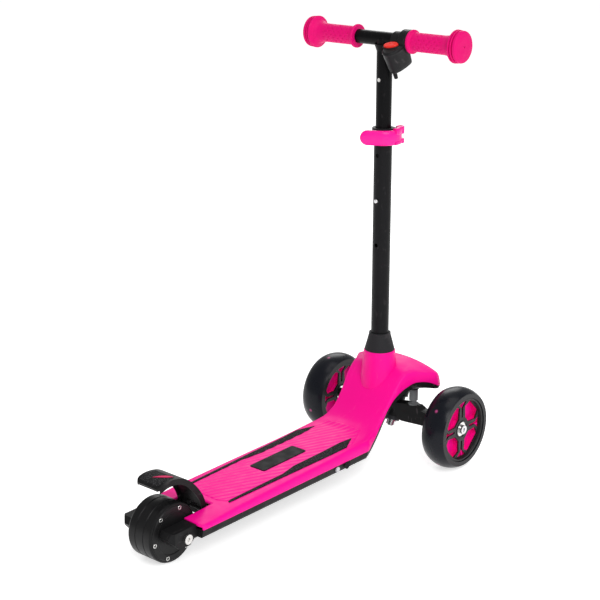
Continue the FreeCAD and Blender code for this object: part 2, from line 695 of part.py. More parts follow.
def trim_windows(x0, x1):
    """Four slots on the cross and four six-sided pockets between them."""
    windows = []
    for k in range(4):
        a = 90.0 * k
        slot = [polar(18.0, a - 5), polar(33.0, a - 3.5), polar(44.0, a - 15), polar(44.0, a + 15),
                polar(33.0, a + 3.5), polar(18.0, a + 5)]
        b = a + 45.0
        pocket = [polar(18.0, b - 21), polar(34.0, b - 34), polar(43.5, b - 20), polar(43.5, b + 20),
                  polar(34.0, b + 34), polar(18.0, b + 21)]
        windows += [prism_x(slot, x0, x1), prism_x(pocket, x0, x1)]
    return windows


def make_wheel_trim():
    """Spoked covers on both faces of a wheel."""
    c = FRONT_TRACK_HALF
    covers = []
    for side in (-1, 1):
        face, back = c + side * TRIM_FACE, c + side * (TRIM_FACE - TRIM_THICK)
        disc = ring_x(min(face, back), max(face, back), FRONT_Y, FRONT_WHEEL_R, RIM_INNER, HUB_R)
        for window in trim_windows(c - 30, c + 30):
            disc = disc.cut(window)
        covers.append(only_solid(disc))
    return group(covers)


def make_front_rim():
    c = FRONT_TRACK_HALF
    y, z = FRONT_Y, FRONT_WHEEL_R
    barrel = ring_x(c - RIM_HALF, c + RIM_HALF, y, z, RIM_R, RIM_INNER)
    web = ring_x(c - 2, c + 2, y, z, RIM_INNER + 0.5, HUB_R - 0.5)
    hub = rod_x(c - HUB_HALF, c + HUB_HALF, y, z, HUB_R)
    reach = TRIM_FACE - TRIM_THICK
    ribs = []
    for k in range(8):
        rib = box(c - reach, c + reach, y + HUB_R - 1, y + RIM_INNER + 0.5, z - 1.2, z + 1.2)
        rib.rotate(V(0, y, z), V(1, 0, 0), 45.0 * k + 16.0 * (1 if k % 2 else -1) + 22.5)
        ribs.append(rib)
    body = fused([barrel, web, hub] + ribs)
    left, right = c - HUB_HALF, c + HUB_HALF
    for x0, x1 in ((left - 1, left + BEARING_WIDTH), (right - BEARING_WIDTH, right + 1)):
        body = body.cut(rod_x(x0, x1, y, z, BEARING_R))
    return only_solid(body.cut(rod_x(c - 30, c + 30, y, z, BEARING_BORE + 3.0)))


def make_front_bearings():
    c = FRONT_TRACK_HALF
    rings = []
    for x0 in (c - HUB_HALF, c + HUB_HALF - BEARING_WIDTH):
        rings.append(ring_x(x0, x0 + BEARING_WIDTH, FRONT_Y, FRONT_WHEEL_R, BEARING_R, BEARING_BORE))
    return group(rings)


def make_front_axle_bolts():
    c = FRONT_TRACK_HALF
    face = c + HUB_HALF + GAP
    shank = rod_x(BEAM_REACH - 22, face + 1.0, FRONT_Y, FRONT_WHEEL_R, BEARING_BORE - RUN)
    head = rod_x(face, face + 4.2, FRONT_Y, FRONT_WHEEL_R, 6.5)
    socket = rod_x(face + 1.6, face + 6, FRONT_Y, FRONT_WHEEL_R, 2.6)
    return group(both_sides(shank.fuse(head).cut(socket)))


# ---- steering truck ----------------------------------------------------------------------------
def make_truck_beam():
    outline = [(0, 72.0), (26, DAMPER_PAD_Z), (49, DAMPER_PAD_Z), (57, 72.0), (BEAM_REACH - 4, 69.0),
               (BEAM_REACH, 67.0), (BEAM_REACH, 53.0), (BEAM_REACH - 4, 51.0), (56, 50.0), (24, 48.0),
               (0, 50.0)]
    y0, y1 = FRONT_Y - BEAM_DEPTH / 2, FRONT_Y + BEAM_DEPTH / 2
    right = prism_y(outline, y0, y1)
    boss = rod(king_point(-BEAM_BOSS_HALF), king_point(BEAM_BOSS_HALF), BEAM_BOSS_R)
    body = fused([right, mirrored(right)])
    # Room for the rubber bushings above and below the boss.
    for side in (-1, 1):
        room = rod(king_point(side * BEAM_BOSS_HALF), king_point(side * 40.0), BEAM_BOSS_R + 1.5)
        body = body.cut(room)
    body = body.fuse(boss)
    hub_face = FRONT_TRACK_HALF - HUB_HALF - GAP
    for end in both_sides(rod_x(BEAM_REACH - 2, hub_face, FRONT_Y, FRONT_WHEEL_R, 7.0)):
        body = body.fuse(end)
    body = body.cut(rod(king_point(-40), king_point(40), KING_R + RUN))
    body = body.cut(make_front_axle_bolts())
    return only_solid(body.removeSplitter())


def make_kingpin_bolt():
    shank = rod(king_point(-28.5), king_point(38.0), KING_R)
    head = Part.makeCylinder(7.0, 5.0, king_point(38.0), king_point(1.0).sub(king_point(0.0)))
    return shank.fuse(head).removeSplitter()


def make_kingpin_nut():
    top = -(BEAM_BOSS_HALF + RUN + BUSHING_HEIGHT)
    washer = rod(king_point(top), king_point(top - 1.6), 9.5)
    nut = rod(king_point(top - 1.6), king_point(top - 8.0), 6.8)
    return only_solid(washer.fuse(nut).cut(make_kingpin_bolt()).removeSplitter())


def make_kingpin_bushings():
    rings = []
    for side in (-1, 1):
        near = side * (BEAM_BOSS_HALF + RUN)
        ring = rod(king_point(near), king_point(near + side * BUSHING_HEIGHT), BUSHING_R)
        rings.append(ring.cut(rod(king_point(-40), king_point(40), KING_R)))
    return group(rings)


def make_lean_dampers():
    profile = [(0, DAMPER_PAD_Z), (7.8, DAMPER_PAD_Z), (7.8, 78.5), (4.5, 79.5), (4.5, 82.5), (DAMPER_R, 83.5),
               (DAMPER_R, DAMPER_TOP_Z - 1), (DAMPER_R - 1, DAMPER_TOP_Z), (0, DAMPER_TOP_Z)]
    face = polygon([V(DAMPER_X + r, FRONT_Y, z) for r, z in profile])
    post = face.revolve(V(DAMPER_X, FRONT_Y, 0), V(0, 0, 1), 360)
    return group(both_sides(post))


def make_damper_caps():
    cap = rod(V(DAMPER_X, FRONT_Y, DAMPER_TOP_Z), V(DAMPER_X, FRONT_Y, 106.5), DAMPER_R + 1.2)
    cap = cap.cut(shell_nose(0, 0, 0))
    return group(both_sides(only_solid(cap)))


# ---- stem --------------------------------------------------------------------------------------
def make_lower_tube():
    tube = rod(V(0, STEM_Y, LOWER_TUBE_BOTTOM), V(0, STEM_Y, LOWER_TUBE_TOP), LOWER_TUBE_R)
    tube = tube.cut(rod(V(0, STEM_Y, LOWER_TUBE_BOTTOM + 3.0), V(0, STEM_Y, 600), UPPER_TUBE_R + SLIDE))
    for step in (-1, 0, 1):
        z = SNAP_Z + step * NOTCH_PITCH
        tube = tube.cut(rod(V(0, STEM_Y, z), V(0, STEM_Y - 30, z), SNAP_R + SLIDE))
    # Slit that lets the clamp close the tube's top.
    return only_solid(tube.cut(box(-1.2, 1.2, STEM_Y, STEM_Y + 30, LOWER_TUBE_TOP - 24, LOWER_TUBE_TOP + 5)))


def make_stem_cone():
    height = CONE_TOP_Z - NECK_TOP_Z
    cone = Part.makeCone(CONE_FOOT_R, CONE_TOP_R, height, V(0, STEM_Y, NECK_TOP_Z), V(0, 0, 1))
    return cone.cut(rod(V(0, STEM_Y, 150), V(0, STEM_Y, 250), LOWER_TUBE_R))


def make_clamp_bolt():
    shank = rod_x(-EAR_OUTER - 1.0, PIVOT_X + 1.5, PIVOT_Y, CLAMP_BOLT_Z, CLAMP_BOLT_R)
    head = rod_x(-EAR_OUTER - 3.4, -EAR_OUTER, PIVOT_Y, CLAMP_BOLT_Z, CLAMP_HEAD_R)
    return shank.fuse(head).removeSplitter()


def make_clamp_collar():
    """Split ring round the tube's top, with two ears in front that the bolt draws together."""
    ring = rod(V(0, STEM_Y, COLLAR_LOW), V(0, STEM_Y, COLLAR_TOP), COLLAR_R)
    ears = box(-EAR_OUTER, EAR_OUTER, EAR_REAR, EAR_FRONT, COLLAR_LOW, LEVER_TOP)
    body = ring.fuse(ears)
    body = body.cut(rod(V(0, STEM_Y, 400), V(0, STEM_Y, LOWER_TUBE_TOP), LOWER_TUBE_R))
    body = body.cut(rod(V(0, STEM_Y, 400), V(0, STEM_Y, 600), UPPER_TUBE_R + GAP))
    body = body.cut(box(-EAR_SLIT_HALF, EAR_SLIT_HALF, STEM_Y, EAR_FRONT + 1, 400, 600))
    return only_solid(body.cut(make_clamp_bolt()).removeSplitter())


def make_lever_pin():
    pin = rod(V(PIVOT_X, PIVOT_Y, LEVER_LOW + 1.0), V(PIVOT_X, PIVOT_Y, LEVER_TAB_TOP - 0.8), PIVOT_PIN_R)
    return only_solid(pin.cut(make_clamp_bolt()))


def round_stem(radius, degrees):
    """A point at the lever's foot height, round the stem's axis."""
    angle = math.radians(degrees)
    return V(radius * math.cos(angle), STEM_Y + radius * math.sin(angle), LEVER_LOW)


def lever_band():
    """Band round the right and the back of the stem, then straight on to its tip at the left."""
    outer, inner = LEVER_ARC_R + LEVER_THICK / 2, LEVER_ARC_R - LEVER_THICK / 2
    first = math.degrees(math.atan2(PIVOT_Y - STEM_Y, PIVOT_X))
    middle = (first + LEVER_ARC_END) / 2
    heading = math.radians(LEVER_ARC_END - 90.0)
    along = V(math.cos(heading), math.sin(heading), 0)
    reach = V(along).multiply(LEVER_TAIL)
    outer_end, inner_end = round_stem(outer, LEVER_ARC_END), round_stem(inner, LEVER_ARC_END)
    edges = [
        arc(round_stem(outer, first), round_stem(outer, middle), outer_end),
        Part.makeLine(outer_end, outer_end.add(reach)),
        Part.makeLine(outer_end.add(reach), inner_end.add(reach)),
        Part.makeLine(inner_end.add(reach), inner_end),
        arc(inner_end, round_stem(inner, middle), round_stem(inner, first)),
        Part.makeLine(round_stem(inner, first), round_stem(outer, first)),
    ]
    height = LEVER_TOP - LEVER_LOW
    band = Part.Face(Part.Wire(edges)).extrude(V(0, 0, height))
    # The tip is a half round as tall as the band.
    turn = round_stem(LEVER_ARC_R, LEVER_ARC_END).add(V(along).multiply(LEVER_TAIL - height / 2))
    window = box(-100, 0, -60, 60, 0, height)
    window.rotate(V(0, 0, 0), V(0, 0, 1), LEVER_ARC_END - 90.0)
    window.translate(turn)
    across = V(-along.y, along.x, 0).multiply(LEVER_THICK)
    centre = turn.add(V(0, 0, height / 2))
    return band.common(window.fuse(rod(centre.sub(across), centre.add(across), height / 2)))


def make_clamp_lever():
    """Curved band that closes round the back of the stem, hung on an upright pin at the right."""
    knuckle = rod(V(PIVOT_X, PIVOT_Y, LEVER_LOW), V(PIVOT_X, PIVOT_Y, LEVER_TAB_TOP), KNUCKLE_R)
    body = lever_band().fuse(knuckle)
    # Slot between the two prongs, where the clamp bolt enters the pin.
    low, high = CLAMP_BOLT_Z - FORK_SLOT_HALF, CLAMP_BOLT_Z + FORK_SLOT_HALF
    body = body.cut(rod(V(PIVOT_X, PIVOT_Y, low), V(PIVOT_X, PIVOT_Y, high), KNUCKLE_R + 1.5))
    body = body.cut(rod(V(PIVOT_X, PIVOT_Y, 400), V(PIVOT_X, PIVOT_Y, 600), PIVOT_PIN_R + RUN))
    return only_solid(body.removeSplitter())


# ---- handlebar ---------------------------------------------------------------------------------
def make_handlebar():
    post = rod(V(0, STEM_Y, UPPER_TUBE_BOTTOM), V(0, STEM_Y, BAR_Z), UPPER_TUBE_R)
    bar = rod_x(-BAR_HALF, BAR_HALF, STEM_Y, BAR_Z, BAR_R)
    weld = Part.makeCone(UPPER_TUBE_R + 0.3, UPPER_TUBE_R + 3.5, 9.0, V(0, STEM_Y, BAR_Z - 16.0), V(0, 0, 1))
    body = post.fuse(weld).fuse(bar)
    body = body.cut(rod(V(0, STEM_Y, 300), V(0, STEM_Y, BAR_Z - 12), UPPER_TUBE_R - UPPER_TUBE_WALL))
    body = body.cut(rod_x(-200, 200, STEM_Y, BAR_Z, BAR_R - BAR_WALL))
    body = body.cut(rod(V(0, STEM_Y, SNAP_Z), V(0, STEM_Y - 30, SNAP_Z), SNAP_R + SLIDE))
    return only_solid(body.cut(make_stem_screw()).removeSplitter())


def make_stem_screw():
    z = BAR_Z - 55.4
    shank = rod(V(0, STEM_Y - UPPER_TUBE_R + 4.0, z), V(0, STEM_Y - UPPER_TUBE_R - 0.5, z), 1.4)
    head = rod(V(0, STEM_Y - UPPER_TUBE_R + 0.3, z), V(0, STEM_Y - UPPER_TUBE_R - 1.3, z), 2.6)
    return shank.fuse(head).removeSplitter()


def make_snap_button():
    tip = V(0, STEM_Y - LOWER_TUBE_R - SNAP_PROUD, SNAP_Z)
    pin = rod(V(0, STEM_Y - UPPER_TUBE_R + UPPER_TUBE_WALL + 0.6, SNAP_Z), tip, SNAP_R)
    edge = [e for e in pin.Edges if abs(e.BoundBox.YMax - tip.y) < 0.01]
    pin = pin.makeFillet(1.2, edge)
    head = rod(V(0, STEM_Y - UPPER_TUBE_R + UPPER_TUBE_WALL + 2.2, SNAP_Z),
               V(0, STEM_Y - UPPER_TUBE_R + UPPER_TUBE_WALL + 1.0, SNAP_Z), SNAP_R + 0.8)
    return pin.fuse(head).removeSplitter()


def make_snap_spring():
    """Bent strip that leans on the tube's front wall and pushes the button out."""
    bore = UPPER_TUBE_R - UPPER_TUBE_WALL
    back = STEM_Y - bore + 2.2
    front = STEM_Y + bore - 0.5
    outline = [(back, SNAP_Z + 4), (back, SNAP_Z - 4), (front - 0.8, SNAP_Z - 46), (front, SNAP_Z - 46),
               (front, SNAP_Z - 44), (back + 0.7, SNAP_Z - 3.6), (back + 0.7, SNAP_Z + 4)]
    return prism_x(outline, -2.5, 2.5)


def make_grip():
    inner, end = GRIP_INNER, GRIP_END
    flange = [(inner, BAR_R), (inner, FLANGE_R - 0.8), (inner + 0.8, FLANGE_R), (inner + 3.2, FLANGE_R),
              (inner + 4.0, FLANGE_R - 0.8), (inner + 4.4, GRIP_R)]
    bell = [(end - 27, GRIP_R), (end - 20, GRIP_R + 1.2), (end - 15.5, GRIP_R + 4.2),
            (end - 13.5, BELL_R - 0.8), (end - 12.5, BELL_R), (end - 10.5, BELL_R), (end - 9.7, BELL_R - 2.0),
            (end - 7.8, BELL_R - 2.2), (end - 7.0, BELL_R - 0.6), (end - 2.0, BELL_R - 0.9),
            (end, BELL_R - 3.0), (end, 2.0), (BAR_HALF, 2.0), (BAR_HALF, BAR_R)]
    profile = flange + bell
    return spin_x(profile, STEM_Y, BAR_Z)


# ---- throttle ----------------------------------------------------------------------------------
# The throttle is drawn with its face flat: x as on the scooter, v up the face, w out of the face.
BAR_V = ((STEM_Y - THROTTLE_FACE_Y) * math.cos(math.radians(THROTTLE_LEAN))
         + (BAR_Z - THROTTLE_FACE_Z) * math.sin(math.radians(THROTTLE_LEAN)))
BAR_W = (-(STEM_Y - THROTTLE_FACE_Y) * math.sin(math.radians(THROTTLE_LEAN))
         + (BAR_Z - THROTTLE_FACE_Z) * math.cos(math.radians(THROTTLE_LEAN)))


def tilted(shape):
    shape = shape.copy()
    shape.rotate(V(0, 0, 0), V(1, 0, 0), THROTTLE_LEAN)
    shape.translate(V(0, THROTTLE_FACE_Y, THROTTLE_FACE_Z))
    return shape


def throttle_section(w, share):
    """Outline of the throttle body, drawn in towards its lower end."""
    face = [(17.6, BAR_V), (13.6, 5.0), (17.8, -12.6), (33.8, -20.0), (42.0, -8.3), (44.6, 7.0), (44.0, BAR_V)]
    foot = [(18.5, BAR_V), (17.0, 5.0), (19.3, -9.0), (29.0, -11.0), (34.5, -4.0), (37.0, 7.0), (37.8, BAR_V)]
    points = [V(a[0] + share * (b[0] - a[0]), a[1] + share * (b[1] - a[1]), w) for a, b in zip(face, foot)]
    return Part.makePolygon(points + [points[0]])


def throttle_body():
    prism = Part.makeLoft([throttle_section(0.0, 0.0), throttle_section(-THROTTLE_DEPTH, 1.0)], True, True)
    band = rod_x(BAND_X0, GRIP_INNER - 0.2, BAR_V, BAR_W, BAND_R)
    lug = rod_x(18.0, BAND_X0 + 1, BAR_V, BAR_W, BAR_R + 2.5)
    body = prism.fuse(band).fuse(lug)
    stem_room = Part.makeCylinder(UPPER_TUBE_R + 4.5, 200, V(0, 0, 0), V(0, 0, 1))
    stem_room.rotate(V(0, 0, 0), V(1, 0, 0), -THROTTLE_LEAN)
    lean = math.radians(THROTTLE_LEAN)
    stem_room.translate(V(0, BAR_V - 100 * math.sin(lean), BAR_W - 100 * math.cos(lean)))
    return body.cut(rod_x(0, 60, BAR_V, BAR_W, BAR_R)).cut(stem_room)


def oval(w0, w1, grow):
    long_r, short_r = BUTTON_LONG + grow, BUTTON_SHORT + grow
    ellipse = Part.Ellipse(V(0, 0, w0), long_r, short_r).toShape()
    solid = Part.Face(Part.Wire([ellipse])).extrude(V(0, 0, w1 - w0))
    solid.rotate(V(0, 0, 0), V(0, 0, 1), BUTTON_TURN)
    solid.translate(V(BUTTON_X, BUTTON_V, 0))
    return solid


def switch_room(inset, w0, w1):
    half_x, half_v = SWITCH_HALF_X - inset, SWITCH_HALF_V - inset
    return box(BUTTON_X + 1.0 - half_x, BUTTON_X + 1.0 + half_x, BUTTON_V - half_v, BUTTON_V + half_v, w0, w1)


def throttle_screw_shapes():
    screws = []
    for v in (BAR_V - 12.9, BAR_V + 12.9):
        shank = rod(V(39.5, v, BAR_W - 9.0), V(39.5, v, BAR_W + 6.5), 1.2)
        head = rod(V(39.5, v, BAR_W - 10.4), V(39.5, v, BAR_W - 8.8), 2.2)
        screws.append(shank.fuse(head).removeSplitter())
    return screws


def make_throttle_housing():
    lid = throttle_body().common(box(0, 60, -60, 60, BAR_W, 60))
    lid = lid.cut(oval(-20, 20, GAP))
    lid = lid.cut(group(throttle_screw_shapes()))
    return tilted(only_solid(lid))


def make_throttle_base():
    tub = throttle_body().common(box(0, 60, -60, 60, -60, BAR_W))
    tub = tub.cut(oval(-10.5, 20, 1.6))
    tub = tub.cut(switch_room(0.0, -24.0, -5.0))
    tub = tub.cut(group(throttle_screw_shapes()))
    return tilted(only_solid(tub))


def make_throttle_button():
    cap = oval(BAR_W - 3.0, BUTTON_RISE, 0.0)
    top = [e for e in cap.Edges if e.BoundBox.ZMin > BUTTON_RISE - 0.01]
    cap = cap.makeFillet(1.5, top)
    flange = oval(BAR_W - GAP - 1.6, BAR_W - GAP, 1.0)
    return tilted(fused([cap, flange]))


def make_throttle_switch():
    return tilted(switch_room(0.2, -24.0, -BUTTON_TRAVEL - 6.6))


def make_throttle_screws():
    return tilted(group(throttle_screw_shapes()))


def make_throttle_gland():
    """Tapered cable entry at the throttle's foot, close beside the stem."""
    top = V(GLAND_X, GLAND_V, -THROTTLE_DEPTH)
    return tilted(Part.makeCone(GLAND_R, GLAND_TIP_R, GLAND_LENGTH, top, V(0, 0, -1)))


# ---- write every sub-part ----------------------------------------------------------------------
def main():
    pieces = {
        "deck_cover": make_deck_cover(),
        "lower_shell": make_lower_shell(),
        "grip_strips": make_grip_strips(),
        "badge_plate": make_badge_plate(),
        "battery_pack": make_battery_pack(),
        "controller_board": make_controller_board(),
        "power_button": make_power_button(),
        "power_switch": make_power_switch(),
        "charge_socket": make_charge_socket(),
        "charge_cap": make_charge_cap(),
        "cover_screws": make_cover_screws(),
        "brake_fender": make_brake_fender(),
        "fender_grip": make_fender_grip(),
        "fender_hinge_pin": make_fender_hinge_pin(),
        "fender_spring": make_fender_spring(),
        "rear_tyre": make_rear_tyre(),
        "motor_rotor": make_motor_rotor(),
        "motor_cover_right": make_motor_cover(),
        "motor_cover_left": mirrored(make_motor_cover()),
        "motor_cover_screws": make_motor_cover_screws(),
        "rotor_magnets": make_rotor_magnets(),
        "rear_bearings": make_rear_bearings(),
        "rear_axle": make_rear_axle(),
        "motor_stator": make_motor_stator(),
        "rear_axle_bolts": make_rear_axle_bolts(),
        "truck_beam": make_truck_beam(),
        "kingpin_bolt": make_kingpin_bolt(),
        "kingpin_nut": make_kingpin_nut(),
        "kingpin_bushings": make_kingpin_bushings(),
        "lean_dampers": make_lean_dampers(),
        "damper_caps": make_damper_caps(),
        "front_axle_bolts": make_front_axle_bolts(),
        "lower_tube": make_lower_tube(),
        "stem_cone": make_stem_cone(),
        "clamp_collar": make_clamp_collar(),
        "clamp_lever": make_clamp_lever(),
        "lever_pin": make_lever_pin(),
        "clamp_bolt": make_clamp_bolt(),
        "handlebar": make_handlebar(),
        "stem_screw": make_stem_screw(),
        "snap_button": make_snap_button(),
        "snap_spring": make_snap_spring(),
        "throttle_housing": make_throttle_housing(),
        "throttle_base": make_throttle_base(),
        "throttle_button": make_throttle_button(),
        "throttle_switch": make_throttle_switch(),
        "throttle_screws": make_throttle_screws(),
        "throttle_gland": make_throttle_gland(),
    }
    paired = {
        "front_tyre": make_front_tyre(),
        "front_rim": make_front_rim(),
        "wheel_trim": make_wheel_trim(),
        "front_bearings": make_front_bearings(),
        "grip": make_grip(),
    }
    for name, shape in paired.items():
        pieces[name + "_right"] = shape
        pieces[name + "_left"] = mirrored(shape)
    for name, shape in pieces.items():
        export(name, shape)


main()
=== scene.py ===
"""Looks for a child's three-wheeled electric kick scooter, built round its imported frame.

Everything is in metres in the frame's own axes: +Z up, +Y forward, +X the rider's right.
"""

import json
import logging
import math
from dataclasses import dataclass
from enum import Enum
from typing import ClassVar

import bmesh
import bpy
import numpy as np
from mathutils import Euler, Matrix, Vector


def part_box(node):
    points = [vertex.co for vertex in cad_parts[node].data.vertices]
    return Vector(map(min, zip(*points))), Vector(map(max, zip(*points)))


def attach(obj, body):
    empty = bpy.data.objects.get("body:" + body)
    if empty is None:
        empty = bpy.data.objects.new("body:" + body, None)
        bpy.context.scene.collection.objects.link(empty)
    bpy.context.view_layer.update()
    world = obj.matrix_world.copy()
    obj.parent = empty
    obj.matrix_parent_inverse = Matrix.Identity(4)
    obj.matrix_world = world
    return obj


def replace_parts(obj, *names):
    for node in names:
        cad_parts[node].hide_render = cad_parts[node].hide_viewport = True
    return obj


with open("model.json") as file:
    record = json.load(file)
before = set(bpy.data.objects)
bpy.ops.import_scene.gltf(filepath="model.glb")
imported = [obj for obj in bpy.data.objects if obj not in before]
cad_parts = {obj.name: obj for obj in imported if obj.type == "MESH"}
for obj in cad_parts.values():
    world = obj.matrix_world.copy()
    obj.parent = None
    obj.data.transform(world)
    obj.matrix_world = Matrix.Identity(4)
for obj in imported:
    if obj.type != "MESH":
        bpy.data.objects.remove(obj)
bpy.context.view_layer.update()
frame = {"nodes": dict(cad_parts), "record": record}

MM = 0.001
LOG = logging.getLogger("scooter")

Colour = tuple[float, float, float]
Place = tuple[float, float, float]
Outline = tuple[tuple[float, ...], ...]

PINK: Colour = (0.90, 0.002, 0.27)
BLACK: Colour = (0.0075, 0.0075, 0.008)
PALE_RUB: Colour = (0.62, 0.55, 0.58)
LOW_SHINE = 0.11
COAT_ROUGHNESS = 0.12
WELD_DISTANCE = 1e-6
DEGENERATE_LENGTH = 1e-7


class Side(Enum):
    """The rider's left and right, as the sign of X."""

    LEFT = -1
    RIGHT = 1

    @property
    def word(self) -> str:
        """The side's name as the frame's nodes spell it."""
        return self.name.lower()


# ---- surfaces ---------------------------------------------------------------------------------
def grid_faces(rows: int, columns: int, wrap_rows: bool = False, wrap_columns: bool = False) -> np.ndarray:
    """Quads of a grid of points numbered row by row.

    Args:
        rows: Number of rows of points.
        columns: Number of points in a row.
        wrap_rows: Whether the last row joins the first.
        wrap_columns: Whether each row closes on itself.

    Returns:
        One row of four point numbers for each face.
    """
    i = np.arange(rows if wrap_rows else rows - 1)[:, None]
    j = np.arange(columns if wrap_columns else columns - 1)[None, :]
    below, beside = (i + 1) % rows, (j + 1) % columns
    corners = (i * columns + j, i * columns + beside, below * columns + beside, below * columns + j)
    return np.stack([np.broadcast_to(c, (i.size, j.size)) for c in corners], -1).reshape(-1, 4)


def mesh_piece(name: str, points: np.ndarray, faces: np.ndarray, sharp: float = 35.0) -> bpy.types.Object:
    """Make an object from points and quads, with its normals facing outwards.

    Args:
        name: The piece's name.
        points: The points, three numbers each, in metres.
        faces: Four point numbers for each face.
        sharp: Edges that bend by more than these degrees are shaded as sharp.

    Returns:
        The new object, linked to the scene.
    """
    mesh = bpy.data.meshes.new(name)
    mesh.from_pydata(points.reshape(-1, 3).tolist(), [], faces.tolist())
    work = bmesh.new()
    work.from_mesh(mesh)
    bmesh.ops.remove_doubles(work, verts=work.verts, dist=WELD_DISTANCE)
    bmesh.ops.dissolve_degenerate(work, edges=work.edges, dist=DEGENERATE_LENGTH)
    bmesh.ops.recalc_face_normals(work, faces=work.faces)
    work.to_mesh(mesh)
    work.free()
    mesh.shade_smooth()
    mesh.set_sharp_from_angle(angle=math.radians(sharp))
    piece = bpy.data.objects.new(name, mesh)
    bpy.context.scene.collection.objects.link(piece)
    return piece


def spun_piece(name: str, profile: np.ndarray, centre: Vector, along_x: bool, around: int,
               closed: bool = True, dent: np.ndarray | None = None) -> bpy.types.Object:
    """Turn a profile round an axis: each point is axis distance plus radius times (cosine, sine).

    Args:
        name: The piece's name.
        profile: Rows of (distance along the axis, radius).
        centre: A point on the axis that the distances start from.
        along_x: True for an axis along X, False for one along Z.
        around: Number of steps round the axis.
        closed: Whether the profile is a closed loop.
        dent: Amount taken off the radius at each (profile point, step), or None.

    Returns:
        The new object.
    """
    angle = np.linspace(0.0, 2 * np.pi, around, endpoint=False)[None, :]
    reach = np.repeat(profile[:, 0:1], around, 1)
    radius = np.repeat(profile[:, 1:2], around, 1)
    if dent is not None:
        radius = radius - dent
    c, s = radius * np.cos(angle), radius * np.sin(angle)
    parts = (reach, c, s) if along_x else (c, s, reach)
    points = np.stack(parts, -1) + np.array(centre)
    return mesh_piece(name, points, grid_faces(len(profile), around, closed, True))


def softened(profile: np.ndarray, step: float, reach: int) -> np.ndarray:
    """Resample a broken line evenly and round its corners with a running mean.

    Args:
        profile: The line's corners.
        step: Spacing of the new points.
        reach: How many points on each side the mean takes in.

    Returns:
        The rounded line, with both its ends kept.
    """
    lengths = np.r_[0.0, np.cumsum(np.linalg.norm(np.diff(profile, axis=0), axis=1))]
    places = np.linspace(0.0, lengths[-1], max(int(lengths[-1] / step), 4))
    line = np.stack([np.interp(places, lengths, profile[:, k]) for k in range(profile.shape[1])], -1)
    index = np.arange(len(line))
    span = np.minimum(reach, np.minimum(index, index[::-1]))
    offset = np.abs(index[:, None] - index[None, :])
    weight = np.clip(span[:, None] + 1 - offset, 0, None).astype(float)
    return (weight / weight.sum(1, keepdims=True)) @ line


def sheet_piece(name: str, top: np.ndarray, thickness: float) -> bpy.types.Object:
    """Close a grid of top points into a thin plate with an equal grid below it.

    Args:
        name: The piece's name.
        top: Grid of points, rows by columns by three.
        thickness: How far the underside lies below.

    Returns:
        The new object.
    """
    rows, columns = top.shape[:2]
    under = top - np.array([0.0, 0.0, thickness])
    count = rows * columns
    upper = grid_faces(rows, columns)
    number = np.arange(count).reshape(rows, columns)
    rim = np.concatenate([number[0, :], number[1:, -1], number[-1, -2::-1], number[-2:0:-1, 0]])
    after = np.roll(rim, -1)
    walls = np.stack([rim, after, after + count, rim + count], -1)
    faces = np.concatenate([upper, upper[:, ::-1] + count, walls])
    return mesh_piece(name, np.concatenate([top.reshape(-1, 3), under.reshape(-1, 3)]), faces)


# ---- finishes ---------------------------------------------------------------------------------
class NodeKit:
    """Short hand for building a node tree."""

    def __init__(self, tree: bpy.types.NodeTree) -> None:
        """Keep the tree that the nodes go into."""
        self.tree = tree

    def add(self, kind: str, **values: object) -> bpy.types.Node:
        """Add a node and set its properties or its sockets' values.

        Args:
            kind: The node's type name.
            values: Property values, or socket values with the socket's name in underscores.

        Returns:
            The new node.
        """
        node = self.tree.nodes.new(kind)
        for key, value in values.items():
            if hasattr(node, key):
                setattr(node, key, value)
            else:
                node.inputs[key.replace("_", " ")].default_value = value
        return node

    def join(self, source: bpy.types.NodeSocket, target: bpy.types.NodeSocket) -> None:
        """Link two sockets."""
        self.tree.links.new(source, target)

    def maths(self, operation: str, *terms: bpy.types.NodeSocket | float) -> bpy.types.NodeSocket:
        """Put a Math node on the terms.

        Args:
            operation: The Math node's operation.
            terms: Sockets or plain numbers.

        Returns:
            The result's socket.
        """
        node = self.tree.nodes.new("ShaderNodeMath")
        node.operation = operation
        for place, term in enumerate(terms):
            if isinstance(term, (int, float)):
                node.inputs[place].default_value = term
            else:
                self.join(term, node.inputs[place])
        return node.outputs[0]

    def ramp(self, value: bpy.types.NodeSocket, low: float, high: float,
             to_low: object = 0.0, to_high: object = 1.0) -> bpy.types.NodeSocket:
        """Map a value smoothly from one range to another.

        Args:
            value: The socket to map.
            low: Input that gives to_low.
            high: Input that gives to_high.
            to_low: A number or socket.
            to_high: A number or socket.

        Returns:
            The mapped socket.
        """
        node = self.tree.nodes.new("ShaderNodeMapRange")
        node.interpolation_type = "SMOOTHSTEP"
        self.join(value, node.inputs["Value"])
        node.inputs["From Min"].default_value = low
        node.inputs["From Max"].default_value = high
        for socket, end in (("To Min", to_low), ("To Max", to_high)):
            if isinstance(end, (int, float)):
                node.inputs[socket].default_value = end
            else:
                self.join(end, node.inputs[socket])
        return node.outputs["Result"]

    def tint(self, mask: bpy.types.NodeSocket, low: object, high: object) -> bpy.types.NodeSocket:
        """Mix two colours by a mask.

        Args:
            mask: Share of the second colour.
            low: A colour or socket where the mask is 0.
            high: A colour or socket where the mask is 1.

        Returns:
            The mixed colour's socket.
        """
        node = self.tree.nodes.new("ShaderNodeMix")
        node.data_type = "RGBA"
        self.join(mask, node.inputs[0])
        for place, end in ((6, low), (7, high)):
            if isinstance(end, tuple):
                node.inputs[place].default_value = (*end, 1.0)
            else:
                self.join(end, node.inputs[place])
        return node.outputs[2]


FLOAT, VECTOR, COLOUR = "NodeSocketFloat", "NodeSocketVector", "NodeSocketColor"
SURFACE = {"Colour": COLOUR, "Roughness": FLOAT, "Height": FLOAT}


